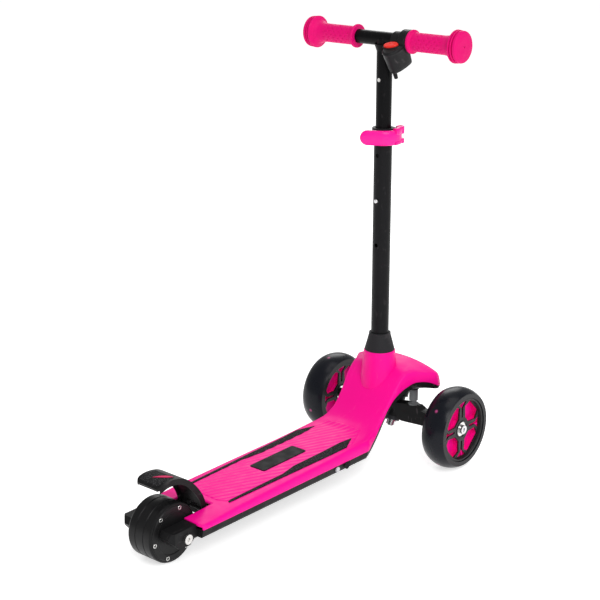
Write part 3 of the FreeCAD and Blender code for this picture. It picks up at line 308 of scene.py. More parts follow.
def shared_group(name: str, inputs: dict[str, str]) -> tuple[NodeKit, dict, dict, bool]:
    """Find or start a shader node group that gives a colour, a roughness and a height.

    Args:
        name: The group's name.
        inputs: Socket type by input name.
    """
    known = bpy.data.node_groups.get(name)
    tree = known or bpy.data.node_groups.new(name, "ShaderNodeTree")
    if known is None:
        for in_out, sockets in (("INPUT", inputs), ("OUTPUT", SURFACE)):
            for label, kind in sockets.items():
                tree.interface.new_socket(label, in_out=in_out, socket_type=kind)
        kit = NodeKit(tree)
        start, end = kit.add("NodeGroupInput"), kit.add("NodeGroupOutput")
        return kit, {s.name: s for s in start.outputs}, {s.name: s for s in end.inputs}, True
    return NodeKit(tree), {}, {}, False


def moulded_grain() -> bpy.types.NodeTree:
    """Group for moulded plastic, paint and rubber.

    Fine noise is the grain's height, broad noise lets the colour drift, and stretched noise cut
    high gives a few pale rubbed marks that are also duller.

    Returns:
        The shader node group.
    """
    inputs = {"Vector": VECTOR, "Colour": COLOUR, "Drift": FLOAT, "Grain": FLOAT, "Gloss": FLOAT,
              "Dull": FLOAT, "Rub": FLOAT}
    kit, start, end, fresh = shared_group("moulded_grain", inputs)
    if not fresh:
        return kit.tree
    broad = kit.add("ShaderNodeTexNoise", Scale=22.0, Detail=3.0)
    fine = kit.add("ShaderNodeTexNoise", Detail=2.0)
    patch = kit.add("ShaderNodeTexNoise", Scale=75.0, Detail=4.0)
    streak_map = kit.add("ShaderNodeMapping", Scale=(260.0, 34.0, 90.0), Rotation=(0.3, 0.5, 0.9))
    streak = kit.add("ShaderNodeTexNoise", Scale=1.0, Detail=2.0)
    for node in (broad, fine, patch, streak_map):
        kit.join(start["Vector"], node.inputs["Vector"])
    kit.join(streak_map.outputs["Vector"], streak.inputs["Vector"])
    kit.join(start["Grain"], fine.inputs["Scale"])
    shade = kit.maths("MULTIPLY_ADD", kit.maths("SUBTRACT", broad.outputs["Fac"], 0.5), start["Drift"], 1.0)
    scaled = kit.add("ShaderNodeVectorMath", operation="SCALE")
    kit.join(start["Colour"], scaled.inputs[0])
    kit.join(shade, scaled.inputs["Scale"])
    rub = kit.maths("MULTIPLY", kit.ramp(streak.outputs["Fac"], 0.62, 0.74), start["Rub"])
    kit.join(kit.tint(rub, scaled.outputs[0], PALE_RUB), end["Colour"])
    rough = kit.ramp(patch.outputs["Fac"], 0.3, 0.7, start["Gloss"], start["Dull"])
    kit.join(kit.maths("MULTIPLY_ADD", rub, 0.25, rough), end["Roughness"])
    kit.join(kit.maths("MULTIPLY_ADD", patch.outputs["Fac"], 0.25, fine.outputs["Fac"]), end["Height"])
    return kit.tree


def speckled_grit() -> bpy.types.NodeTree:
    """Group for grip rubber with flecks: cells of a Voronoi pattern, a few of them pale.

    Returns:
        The shader node group.
    """
    inputs = {"Vector": VECTOR, "Colour": COLOUR, "Fleck": COLOUR, "Cells": FLOAT, "Share": FLOAT}
    kit, start, end, fresh = shared_group("speckled_grit", inputs)
    if not fresh:
        return kit.tree
    cells = kit.add("ShaderNodeTexVoronoi", feature="F1")
    kit.join(start["Vector"], cells.inputs["Vector"])
    kit.join(start["Cells"], cells.inputs["Scale"])
    pick = kit.add("ShaderNodeSeparateColor")
    kit.join(cells.outputs["Color"], pick.inputs[0])
    chosen = kit.maths("GREATER_THAN", start["Share"], pick.outputs[0])
    dot = kit.ramp(cells.outputs["Distance"], 0.42, 0.22)
    mask = kit.maths("MULTIPLY", chosen, dot)
    kit.join(kit.tint(mask, start["Colour"], start["Fleck"]), end["Colour"])
    kit.join(kit.ramp(cells.outputs["Distance"], 0.1, 0.6, 0.55, 0.85), end["Roughness"])
    kit.join(kit.ramp(cells.outputs["Distance"], 0.6, 0.0), end["Height"])
    return kit.tree


def brushed_metal() -> bpy.types.NodeTree:
    """Group for steel and alloy: noise drawn out into fine lines, and faint stains.

    Returns:
        The shader node group.
    """
    inputs = {"Vector": VECTOR, "Colour": COLOUR, "Gloss": FLOAT, "Dull": FLOAT}
    kit, start, end, fresh = shared_group("brushed_metal", inputs)
    if not fresh:
        return kit.tree
    lines_map = kit.add("ShaderNodeMapping", Scale=(90.0, 3200.0, 3200.0))
    lines = kit.add("ShaderNodeTexNoise", Scale=1.0, Detail=3.0)
    stain = kit.add("ShaderNodeTexNoise", Scale=160.0, Detail=4.0)
    kit.join(start["Vector"], lines_map.inputs["Vector"])
    kit.join(start["Vector"], stain.inputs["Vector"])
    kit.join(lines_map.outputs["Vector"], lines.inputs["Vector"])
    shade = kit.ramp(stain.outputs["Fac"], 0.3, 0.75, 0.78, 1.04)
    scaled = kit.add("ShaderNodeVectorMath", operation="SCALE")
    kit.join(start["Colour"], scaled.inputs[0])
    kit.join(shade, scaled.inputs["Scale"])
    kit.join(scaled.outputs[0], end["Colour"])
    kit.join(kit.ramp(lines.outputs["Fac"], 0.25, 0.75, start["Gloss"], start["Dull"]), end["Roughness"])
    kit.join(lines.outputs["Fac"], end["Height"])
    return kit.tree


@dataclass(frozen=True)
class Finish:
    """Base of the finishes: one Principled shader fed by a shared group."""

    name: str
    colour: Colour
    specular: float = 0.5
    coat: float = 0.0
    depth: float = 0.02 * MM

    def group(self) -> bpy.types.NodeTree:
        """The shared group that this finish uses."""
        return moulded_grain()

    def settings(self) -> dict[str, object]:
        """Values for the group's inputs."""
        return {"Colour": (*self.colour, 1.0)}

    def extras(self, kit: NodeKit, place: bpy.types.NodeSocket,
               colour: bpy.types.NodeSocket) -> bpy.types.NodeSocket:
        """Change the colour before it reaches the shader.

        Args:
            kit: The material's node kit.
            place: Object coordinates.
            colour: The group's colour.

        Returns:
            The colour to use.
        """
        return colour

    def metallic(self) -> float:
        """Share of metal in the surface."""
        return 0.0

    def material(self) -> bpy.types.Material:
        """Build the material once and hand it out again after that.

        Returns:
            The material.
        """
        known = bpy.data.materials.get("finish_" + self.name)
        if known is not None:
            return known
        made = bpy.data.materials.new("finish_" + self.name)
        made.use_nodes = True
        made.node_tree.nodes.clear()
        kit = NodeKit(made.node_tree)
        place = kit.add("ShaderNodeTexCoord").outputs["Object"]
        surface = kit.add("ShaderNodeGroup", node_tree=self.group())
        for label, value in self.settings().items():
            surface.inputs[label].default_value = value
        kit.join(place, surface.inputs["Vector"])
        shader = kit.add("ShaderNodeBsdfPrincipled")
        shader.inputs["Metallic"].default_value = self.metallic()
        shader.inputs["Specular IOR Level"].default_value = self.specular
        shader.inputs["Coat Weight"].default_value = self.coat
        shader.inputs["Coat Roughness"].default_value = COAT_ROUGHNESS
        bump = kit.add("ShaderNodeBump", Strength=1.0, Distance=self.depth)
        kit.join(surface.outputs["Height"], bump.inputs["Height"])
        kit.join(bump.outputs["Normal"], shader.inputs["Normal"])
        kit.join(surface.outputs["Roughness"], shader.inputs["Roughness"])
        colour = self.extras(kit, place, surface.outputs["Colour"])
        kit.join(colour, shader.inputs["Base Color"])
        kit.join(shader.outputs[0], kit.add("ShaderNodeOutputMaterial").inputs["Surface"])
        return made


@dataclass(frozen=True)
class Moulded(Finish):
    """Moulded plastic, paint or plain rubber."""

    gloss: float = 0.35
    dull: float = 0.5
    drift: float = 0.12
    grain: float = 1400.0
    rub: float = 0.05

    def settings(self) -> dict[str, object]:
        """Values for the group's inputs."""
        return {"Colour": (*self.colour, 1.0), "Drift": self.drift, "Grain": self.grain, "Gloss": self.gloss,
                "Dull": self.dull, "Rub": self.rub}


@dataclass(frozen=True)
class Grit(Finish):
    """Grip rubber with pale flecks."""

    fleck: Colour = (0.20, 0.20, 0.21)
    cells: float = 620.0
    share: float = 0.2

    def group(self) -> bpy.types.NodeTree:
        """The shared group that this finish uses."""
        return speckled_grit()

    def settings(self) -> dict[str, object]:
        """Values for the group's inputs."""
        return {"Colour": (*self.colour, 1.0), "Fleck": (*self.fleck, 1.0), "Cells": self.cells,
                "Share": self.share}


@dataclass(frozen=True)
class Metal(Finish):
    """Bare or plated metal."""

    gloss: float = 0.2
    dull: float = 0.36

    def group(self) -> bpy.types.NodeTree:
        """The shared group that this finish uses."""
        return brushed_metal()

    def metallic(self) -> float:
        """Share of metal in the surface."""
        return 1.0

    def settings(self) -> dict[str, object]:
        """Values for the group's inputs."""
        return {"Colour": (*self.colour, 1.0), "Gloss": self.gloss, "Dull": self.dull}


@dataclass(frozen=True)
class LampTyre(Moulded):
    """Clear-coated tyre with small tinted lamps under its crown."""

    centre: Place = (0.0, 0.0, 0.0)
    lamps: int = 4
    phase: float = 0.0
    side_from: float = 18.9 * MM
    side_colour: Colour = (0.018, 0.018, 0.020)
    lamp_radius: float = 3.4 * MM
    crown_radius: float = 57.0 * MM
    lamp_colour: Colour = (0.36, 0.05, 0.17)
    crown_edge: float = 1.0 * MM
    side_edge: float = 0.4 * MM
    whole_turns: float = 10.5

    def extras(self, kit: NodeKit, place: bpy.types.NodeSocket,
               colour: bpy.types.NodeSocket) -> bpy.types.NodeSocket:
        """Add the lamps: a spot where the distance along the crown and across it is small.

        Args:
            kit: The material's node kit.
            place: Object coordinates.
            colour: The group's colour.

        Returns:
            The colour to use.
        """
        centred = kit.add("ShaderNodeMapping", Location=tuple(-c for c in self.centre))
        kit.join(place, centred.inputs["Vector"])
        parts = kit.add("ShaderNodeSeparateXYZ")
        kit.join(centred.outputs["Vector"], parts.inputs[0])
        x, y, z = parts.outputs
        turn = kit.maths("ARCTAN2", z, y)
        share = kit.maths("MULTIPLY_ADD", turn, self.lamps / (2 * math.pi), self.whole_turns - self.phase)
        offset = kit.maths("SUBTRACT", kit.maths("FRACT", share), 0.5)
        along = kit.maths("MULTIPLY", offset, 2 * math.pi * self.crown_radius / self.lamps)
        far = kit.maths("SQRT", kit.maths("ADD", kit.maths("POWER", kit.maths("ABSOLUTE", along), 2.0),
                                            kit.maths("POWER", kit.maths("ABSOLUTE", x), 2.0)))
        squares = kit.maths("ADD", kit.maths("MULTIPLY", y, y), kit.maths("MULTIPLY", z, z))
        radius = kit.maths("SQRT", squares)
        crown = kit.ramp(radius, self.crown_radius - self.crown_edge, self.crown_radius)
        spot = kit.maths("MULTIPLY", kit.ramp(far, self.lamp_radius, self.lamp_radius * 0.2), crown)
        side = kit.ramp(kit.maths("ABSOLUTE", x), self.side_from - self.side_edge, self.side_from)
        return kit.tint(spot, kit.tint(side, colour, self.side_colour), self.lamp_colour)


def moulded(name: str, colour: Colour, gloss: float, dull: float, depth: float = 0.02 * MM,
            **more: float) -> Moulded:
    """Make a moulded finish with the low shine that most of the parts share.

    Args:
        name: The finish's name.
        colour: Its colour.
        gloss: Roughness where it is smoothest.
        dull: Roughness where it is dullest.
        depth: Depth of the grain, in metres.
        more: Any other field of Moulded.

    Returns:
        The finish.
    """
    shared = {"specular": LOW_SHINE, "depth": depth, "gloss": gloss, "dull": dull}
    return Moulded(name, colour, **{**shared, **more})


def finishes() -> dict[str, Finish]:
    """The scooter's finishes by name: one for each material slot of the record, and stroke_pink.

    Returns:
        The finishes.
    """
    satin, coarse, fine = 0.012 * MM, 0.03 * MM, 0.01 * MM
    made = (
        moulded("pink_shell", PINK, 0.36, 0.48, satin, drift=0.05, rub=0.02),
        moulded("stroke_pink", (0.62, 0.03, 0.12), 0.5, 0.7),
        moulded("lever_pink", PINK, 0.3, 0.42, specular=0.3, rub=0.02),
        moulded("rim_pink", (1.0, 0.004, 0.31), 0.3, 0.42, rub=0.02),
        moulded("grip_pink", (0.66, 0.002, 0.14), 0.5, 0.64, drift=0.08, rub=0.02),
        moulded("black_shell", BLACK, 0.4, 0.56, coarse),
        moulded("beam_black", BLACK, 0.4, 0.56, coarse),
        moulded("throttle_black", (0.008, 0.008, 0.009), 0.36, 0.5, coarse, specular=0.14),
        moulded("fender_black", (0.006, 0.006, 0.0065), 0.38, 0.5, coarse, specular=0.13),
        moulded("collar_black", (0.020, 0.020, 0.022), 0.5, 0.64, 0.04 * MM, rub=0.02),
        moulded("trim_black", (0.013, 0.013, 0.014), 0.36, 0.52, specular=0.26),
        moulded("plate_grey", (0.004, 0.004, 0.0045), 0.42, 0.56, rub=0.02, specular=0.06),
        moulded("motor_black", (0.009, 0.009, 0.0095), 0.3, 0.44, grain=1800.0, specular=0.16),
        moulded("tube_black", (0.006, 0.006, 0.007), 0.34, 0.46, fine, grain=2600.0, rub=0.015),
        moulded("bar_black", (0.003, 0.003, 0.0035), 0.3, 0.42, fine, grain=2600.0, rub=0.01,
                specular=0.08),
        Grit("strip_rubber", (0.010, 0.010, 0.011), specular=0.14, depth=0.2 * MM, cells=1500.0,
             share=0.34),
        Grit("fender_pad", (0.011, 0.011, 0.012), specular=0.14, depth=0.2 * MM, cells=1300.0,
             share=0.3),
        moulded("tyre_grey", (0.007, 0.007, 0.0075), 0.28, 0.42, drift=0.06, rub=0.01,
                specular=0.14),
        moulded("tyre_black", (0.006, 0.007, 0.010), 0.2, 0.34, specular=0.25, coat=0.12),
        moulded("bushing_urethane", (0.03, 0.03, 0.033), 0.4, 0.6),
        moulded("damper_grey", (0.16, 0.165, 0.17), 0.45, 0.6),
        moulded("button_red", (0.70, 0.020, 0.012), 0.3, 0.42, specular=0.3),
        moulded("button_grey", (0.52, 0.52, 0.54), 0.24, 0.36, specular=0.4),
        moulded("battery_wrap", (0.02, 0.09, 0.30), 0.25, 0.4),
        moulded("board_green", (0.01, 0.10, 0.03), 0.3, 0.45),
        Metal("magnet", (0.42, 0.42, 0.44)),
        Metal("stator_iron", (0.30, 0.27, 0.24)),
        Metal("motor_alloy", (0.62, 0.62, 0.64)),
        Metal("spring_steel", (0.60, 0.59, 0.57)),
        Metal("screw_steel", (0.72, 0.71, 0.69)),
        Metal("axle_steel", (0.70, 0.70, 0.71), gloss=0.16, dull=0.32),
        Metal("bearing_steel", (0.78, 0.77, 0.75), gloss=0.12, dull=0.24),
    )
    return {finish.name: finish for finish in made}


@dataclass
class Paintshop:
    """Gives each frame node and each new piece its finish."""

    finishes: dict[str, Finish]
    blackened: ClassVar[dict[str, str]] = {"fender_spring": "fender_black"}
    slot_of: ClassVar[dict[str, str]] = {"stroke_pink": "lever_pink"}

    def dress_frame(self) -> None:
        """Put the finish of its record slot on every node, except the few that are blackened."""
        for row in frame["record"]["subparts"]:
            node = frame["nodes"][row["node"]]
            finish = self.finishes[self.blackened.get(row["node"], row["material_slot"])]
            for slot in node.material_slots:
                slot.material = finish.material()

    def dress(self, piece: bpy.types.Object, slot: str, body: str) -> bpy.types.Object:
        """Finish a new piece and hang it on its body.

        Args:
            piece: The new piece.
            slot: The finish's name; the record's material slot, or stroke_pink.
            body: The body that carries it.

        Returns:
            The same piece.
        """
        piece.data.materials.clear()
        piece.data.materials.append(self.finishes[slot].material())
        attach(piece, body)
        LOG.info("%s on %s, %d faces", piece.name, body, len(piece.data.polygons))
        return piece


def centre_of(node: str) -> Vector:
    """Middle of a node's box."""
    low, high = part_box(node)
    return (low + high) / 2


# ---- deck -------------------------------------------------------------------------------------
@dataclass
class CoverShape:
    """The cover's outside: at each Y a section of bulging sides and a crowned top.

    Stations are (Y from the front axle, half width, split height, shoulder half width, shoulder
    height, top height), all in millimetres.  They are joined straight along the deck and with
    cubic pieces along the nose.
    """

    axle_y: float
    deck: Outline = ((-464.0, 56.0, 47.5, 50.0, 54.5, 57.0), (-440.0, 56.0, 47.5, 50.0, 55.0, 57.5),
                     (-395.0, 56.0, 47.5, 50.0, 57.5, 60.0), (-300.0, 56.0, 47.5, 50.0, 59.5, 62.0),
                     (-200.0, 56.0, 47.5, 50.0, 61.0, 63.5), (-130.0, 56.0, 47.5, 50.0, 63.5, 66.0))
    nose: Outline = ((-130.0, 56.0, 47.5, 50.0, 63.5, 66.0), (-115.0, 51.5, 52.0, 47.5, 66.0, 69.5),
                     (-100.0, 48.5, 62.0, 44.0, 70.0, 74.0), (-85.0, 45.5, 74.0, 40.5, 80.0, 84.0),
                     (-65.0, 45.5, 95.5, 40.0, 104.0, 107.0), (-50.0, 48.5, 108.5, 44.0, 123.5, 126.0),
                     (-35.0, 51.0, 115.0, 46.0, 135.0, 138.0), (-20.0, 56.5, 120.0, 50.5, 137.0, 143.5),
                     (-5.0, 67.0, 119.0, 59.5, 134.5, 144.5), (10.0, 74.5, 111.5, 67.0, 132.0, 143.5),
                     (22.0, 69.0, 107.5, 61.0, 126.5, 136.5), (30.0, 64.0, 105.5, 56.0, 112.0, 118.0))

    def at(self, y: np.ndarray) -> np.ndarray:
        """Section sizes at each Y.

        Args:
            y: Distances ahead of the front axle, in millimetres.

        Returns:
            Rows of (half width, split, shoulder half, shoulder height, top).
        """
        deck, nose = np.array(self.deck), np.array(self.nose)
        flat = np.stack([np.interp(y, deck[:, 0], deck[:, k]) for k in range(1, 6)], -1)
        knots, values = nose[:, 0], nose[:, 1:]
        step = np.diff(knots)[:, None]
        slope = np.diff(values, axis=0) / step
        inner = (slope[:-1] * step[1:] + slope[1:] * step[:-1]) / (step[:-1] + step[1:])
        first = (deck[-1, 1:] - deck[-2, 1:]) / (deck[-1, 0] - deck[-2, 0])
        tangent = np.concatenate([first[None], inner, slope[-1:]])
        k = np.clip(np.searchsorted(knots, y, side="right") - 1, 0, len(knots) - 2)
        width = step[k, 0]
        t = np.clip((y - knots[k]) / width, 0, 1)[:, None]
        width = width[:, None]
        curved = (values[k] * (1 + 2 * t) * (1 - t) ** 2 + tangent[k] * width * t * (1 - t) ** 2
                  + values[k + 1] * t * t * (3 - 2 * t) + tangent[k + 1] * width * t * t * (t - 1))
        return np.where((y <= knots[0])[:, None], flat, curved)

    def crown(self, x: np.ndarray, y: np.ndarray) -> np.ndarray:
        """Height of the top.

        It is the shoulder's height plus the crown's rise times one less (x / shoulder) squared.

        Args:
            x: Distances to the right, in millimetres, one row for each Y.
            y: Distances ahead of the front axle, in millimetres.

        Returns:
            Heights in millimetres.
        """
        sizes = self.at(y)
        shoulder, low, top = (sizes[:, k][:, None] for k in (2, 3, 4))
        return low + (top - low) * (1 - (x / shoulder) ** 2)


@dataclass
class Deck:
    """The pink cover with its neck, and the ribbed panel that the rider stands on."""

    shop: Paintshop
    shape: CoverShape
    cover_wall: float = 2.4
    panel_wall: float = 1.0
    inlay_wall: float = 1.2
    slot_half: float = 24.5
    slot_front: float = -415.0
    rear_end: float = -464.0
    corner_from: float = 49.0
    corner_slope: float = 0.435
    side_steps: int = 18
    crown_steps: tuple[int, int] = (20, 34)
    rounding: int = 9
    bulge: tuple[float, float] = (0.78, 0.72)
    cap_steps: int = 7
    cap_reach: float = 1.8
    cap_shrink: float = 0.05
    rib_turn: float = 25.0
    rib_pitch: float = 8.3
    rib_height: float = 0.6
    rib_sharpness: float = 1.4
    fade_width: float = 1.6
    plate_margin: float = 0.4
    panel_rise: float = 0.35
    inlay_edge: float = 0.9
    inlay_side: float = 0.74
    strip_rise: float = 1.35
    strip_outer: Outline = ((-397.0, 40.1), (-290.0, 43.2), (-166.0, 46.5), (-141.0, 34.7))
    strip_inner: Outline = ((-397.0, 37.6), (-392.0, 36.4), (-290.0, 36.8), (-262.0, 31.8),
                            (-163.0, 31.3), (-141.0, 34.3))
    badge_plate: tuple[float, float, float, float] = (-302.0, -214.0, 13.5, 3.5)
    badge_rise: float = 1.4
    panel: Outline = ((-404.0, 22.0), (-397.0, 35.0), (-392.0, 36.2), (-290.0, 37.6), (-262.0, 33.0),
                      (-168.0, 33.0), (-163.0, 45.8), (-154.0, 46.4), (-120.0, 31.5), (-114.5, 28.5))

    def section_columns(self) -> tuple[np.ndarray, np.ndarray]:
        """Places of the points along a section.

        Returns:
            The part (0 left side, 1 crown, 2 right side) and the place in it, 0 to 1.
        """
        notch = 0.5 - self.slot_half / 100.0
        side = np.linspace(0.0, 1.0, self.side_steps, endpoint=False)
        beside, between = self.crown_steps
        crown = np.concatenate([np.linspace(0.0, notch, beside, endpoint=False),
                                np.linspace(notch, 1 - notch, between, endpoint=False),
                                np.linspace(1 - notch, 1.0, beside, endpoint=False)])
        part = np.concatenate([np.zeros(len(side)), np.ones(len(crown)), np.full(len(side) + 1, 2.0)])
        place = np.concatenate([side, crown, np.linspace(0.0, 1.0, self.side_steps + 1)])
        return part, place

    def shoulder_mean(self, count: int) -> np.ndarray:
        """Matrix that averages the points near each shoulder, most at the shoulder itself.

        Args:
            count: Number of points in a section.

        Returns:
            A square matrix to multiply a section's points by.
        """
        index = np.arange(count)
        corners = (self.side_steps, count - 1 - self.side_steps)
        span = np.max([np.clip(self.rounding - np.abs(index - c), 0, None) for c in corners], axis=0)
        weight = np.clip(span[:, None] + 1 - np.abs(index[:, None] - index[None, :]), 0, None).astype(float)
        return weight / weight.sum(1, keepdims=True)

    def sections(self, y: np.ndarray) -> np.ndarray:
        """Points of the cover's sections, from the left split edge over the top to the right one.

        Each part is a parabola through its two ends and its middle.

        Args:
            y: Distances ahead of the front axle, in millimetres.

        Returns:
            Rows by columns by (x, z), in millimetres.
        """
        part, t = self.section_columns()
        half, base, shoulder, low, top = (column[:, None] for column in self.shape.at(y).T)
        bulge_x = shoulder + self.bulge[0] * (half - shoulder)
        bulge_z = base + self.bulge[1] * (low - base)
        down = np.where(part == 0, t, np.where(part == 2, 1 - t, 0.0))[None, :]
        side_x = half + (shoulder - half) * down + 4 * down * (1 - down) * (bulge_x - (half + shoulder) / 2)
        side_z = base + (low - base) * down + 4 * down * (1 - down) * (bulge_z - (base + low) / 2)
        across = 2 * t[None, :] - 1
        crown_x, crown_z = shoulder * across, low + (top - low) * (1 - across ** 2)
        x = np.where(part == 0, -side_x, np.where(part == 2, side_x, crown_x))
        z = np.where(part == 1, crown_z, side_z)
        return np.einsum("ij,rjk->rik", self.shoulder_mean(len(t)), np.stack([x, z], -1))

    def cover(self) -> bpy.types.Object:
        """Build the cover: its sections in a row, open over the rear wheel, with a rounded front end.

        Returns:
            The new object, with its wall as a modifier.
        """
        rear = np.linspace(self.rear_end, self.slot_front, 16)
        deck = np.linspace(self.slot_front, self.shape.nose[0][0], 70)[1:]
        nose = np.linspace(self.shape.nose[0][0], self.shape.nose[-1][0], 110)[1:]
        y = np.concatenate([rear, deck, nose])
        flat = self.sections(y)
        x, z = flat[..., 0], flat[..., 1]
        share = np.clip((self.slot_front - y) / (self.slot_front - self.rear_end), 0, 1)[:, None]
        shift = np.clip(np.abs(x) - self.corner_from, 0, None) * self.corner_slope * share
        rows = np.stack([x, np.repeat(y[:, None], x.shape[1], 1) + shift, z], -1)
        cap_turn = np.linspace(0.0, math.pi / 2, self.cap_steps)[1:, None, None]
        end = rows[-1]
        heart = np.array([0.0, y[-1], float(end[:, 2].min())])
        cap = heart + (end - heart) * (1 - self.cap_shrink * (1 - np.cos(cap_turn)))
        cap[..., 1] += self.cap_reach * np.sin(cap_turn[..., 0])
        shrink = np.array([0.95, 1.0, 0.95]) * np.linspace(0.66, 0.0, 3)[:, None, None]
        inner = heart + (end - heart) * shrink
        inner[..., 1] = cap[-1, 0, 1]
        points = np.concatenate([rows, cap, inner])
        faces = grid_faces(len(points), points.shape[1])
        flat_points = points.reshape(-1, 3)
        middle = flat_points[faces].mean(1)
        in_slot = (np.abs(middle[:, 0]) < self.slot_half - 0.01) & (middle[:, 1] < self.slot_front)
        placed = flat_points * MM + np.array([0.0, self.shape.axle_y, 0.0])
        piece = mesh_piece("deck_cover_skin", placed, faces[~in_slot], sharp=50.0)
        self.face_up(piece)
        wall = piece.modifiers.new("wall", "SOLIDIFY")
        wall.thickness = self.cover_wall * MM
        wall.offset = -1.0
        return piece

    def face_up(self, piece: bpy.types.Object) -> None:
        """Turn an open shell's faces so that most of them look up."""
        normals = np.zeros(len(piece.data.polygons) * 3)
        piece.data.polygons.foreach_get("normal", normals)
        if normals.reshape(-1, 3)[:, 2].sum() < 0:
            piece.data.flip_normals()

    def neck(self) -> bpy.types.Object:
        """Build the neck: a cone's wall turned round the stem, with a rounded lip.

        Returns:
            The new object.
        """
        foot_low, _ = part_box("stem_cone")
        stem = centre_of("lower_tube")
        top = foot_low.z / MM
        outside = softened(np.array([(top - 0.2, 13.2), (top, 20.0), (top, 22.6), (top - 1.0, 22.9),
                                     (top - 40.0, 26.9), (top - 54.0, 28.4)]), 0.8, 2)
        inside = np.array([(top - 54.0, 26.4), (top - 3.0, 20.8), (top - 3.0, 13.2)])
        profile = np.concatenate([outside, inside]) * MM
        return spun_piece("deck_neck", profile, Vector((0.0, stem.y, 0.0)), False, 96)

    def ribbed_panel(self) -> bpy.types.Object:
        """Build the panel: the crown's height plus a rise and ribs.

        A rib's height is a raised cosine of the distance across the ribs, and it dies out at the
        panel's edge and round the badge plate.

        Returns:
            The new object.
        """
        edge = np.array(self.panel)
        v = np.linspace(-1.0, 1.0, 96)[None, :]
        y = np.unique(np.concatenate([np.linspace(edge[0, 0], edge[-1, 0], 250), edge[:, 0]]))
        half = np.interp(y, edge[:, 0], edge[:, 1])[:, None]
        x = v * half
        turn = math.radians(self.rib_turn)
        across = (x * math.cos(turn) - y[:, None] * math.sin(turn)) / self.rib_pitch
        ends = np.clip(np.minimum(y - y[0], y[-1] - y) / self.fade_width, 0, 1)[:, None]
        sides = np.clip((1 - np.abs(v)) * half / self.fade_width, 0, 1)
        fade = np.minimum(ends, sides)
        plate_rear, plate_front, plate_half, _ = self.badge_plate
        off_plate = np.maximum(np.abs(x) - plate_half, np.maximum(plate_rear - y, y - plate_front)[:, None])
        bare = np.clip((off_plate - self.plate_margin) / self.fade_width, 0, 1)
        wave = (0.5 + 0.5 * np.cos(2 * np.pi * across)) ** self.rib_sharpness
        height = self.panel_rise * np.minimum(1.0, fade * 3) + self.rib_height * fade * bare * wave
        z = self.shape.crown(x, y) + height
        top = np.stack([x, np.repeat(y[:, None], x.shape[1], 1), z], -1) * MM
        placed = top + np.array([0.0, self.shape.axle_y, 0.0])
        return sheet_piece("deck_ribbed_panel", placed, self.panel_wall * MM)

    def inlay(self, name: str, y: np.ndarray, left: np.ndarray, right: np.ndarray,
              rise: float) -> bpy.types.Object:
        """Build a plate that follows the deck's crown, with its edges rounded over.

        Args:
            name: The piece's name.
            y: Distances ahead of the front axle, in millimetres.
            left: The plate's left edge at each of them.
            right: Its right edge.
            rise: Its height above the deck.

        Returns:
            The new object.
        """
        share = 0.5 - 0.5 * np.cos(np.linspace(0.0, np.pi, 30))[None, :]
        x = left[:, None] + (right - left)[:, None] * share
        inwards = np.minimum(x - left[:, None], right[:, None] - x)
        ends = np.minimum(y - y[0], y[-1] - y)[:, None]
        near = np.clip(np.minimum(inwards, ends) / self.inlay_edge, 0, 1)
        round_over = np.sqrt(1 - (1 - near) ** 2)
        z = self.shape.crown(x, y) + rise * (self.inlay_side + (1 - self.inlay_side) * round_over)
        top = np.stack([x, np.repeat(y[:, None], x.shape[1], 1), z], -1) * MM
        return sheet_piece(name, top + np.array([0.0, self.shape.axle_y, 0.0]), self.inlay_wall * MM)

    def strip(self, side: Side) -> bpy.types.Object:
        """Build a grip strip: a slanting wedge at the front that tapers to the rear.

        Args:
            side: The side of the deck that it lies on.

        Returns:
            The new object.
        """
        outer, inner = np.array(self.strip_outer), np.array(self.strip_inner)
        y = np.unique(np.concatenate([np.linspace(outer[0, 0], outer[-1, 0], 260), outer[:, 0], inner[:, 0]]))
        a, b = np.interp(y, inner[:, 0], inner[:, 1]), np.interp(y, outer[:, 0], outer[:, 1])
        edges = (a, b) if side is Side.RIGHT else (-b, -a)
        return self.inlay("grip_strip_" + side.word, y, *edges, self.strip_rise)

    def badge(self) -> bpy.types.Object:
        """Build the bare badge plate, with quarter-round corners.

        Returns:
            The new object.
        """
        rear, front, half, radius = self.badge_plate
        turn = np.linspace(0.0, np.pi / 2, 14)
        y = np.concatenate([rear + radius * (1 - np.cos(turn)),
                            np.linspace(rear + radius, front - radius, 24)[1:-1],
                            front - radius * (1 - np.sin(turn))])
        ends = np.clip(radius - np.minimum(y - rear, front - y), 0, radius)
        edge = half - radius + np.sqrt(radius ** 2 - ends ** 2) + 0.02
        return self.inlay("badge_bare_plate", y, -edge, edge, self.badge_rise)

    def build(self) -> None:
        """Build and dress the deck's pieces."""
        cover = self.shop.dress(self.cover(), "pink_shell", "deck")
        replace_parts(cover, "deck_cover")
        self.shop.dress(self.neck(), "pink_shell", "deck")
        self.shop.dress(self.ribbed_panel(), "pink_shell", "deck")
        for side in Side:
            strip = self.shop.dress(self.strip(side), "strip_rubber", "deck")
            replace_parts(strip, "grip_strips")
        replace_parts(self.shop.dress(self.badge(), "plate_grey", "deck"), "badge_plate")


# ---- stem -------------------------------------------------------------------------------------
@dataclass
class StemCone:
    """The stepped ring at the top of the stem's cone, with a groove under it."""

    shop: Paintshop
    height: float = 4.4
    radius: float = 15.9
    bore: float = 13.4
    proud: float = 0.3

    def build(self) -> None:
        """Build the ring on the cone's top."""
        _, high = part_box("stem_cone")
        top = high.z / MM + self.proud
        foot, radius = top - self.height, self.radius
        corners = [(foot, self.bore), (foot, radius - 0.3), (foot + 0.6, radius), (top - 0.4, radius),
                   (top, radius - 0.9), (top, self.bore)]
        centre = Vector((0.0, centre_of("lower_tube").y, 0.0))
        ring = spun_piece("cone_top_ring", softened(np.array(corners), 0.25, 2) * MM, centre, False, 96)
        self.shop.dress(ring, "collar_black", "deck")


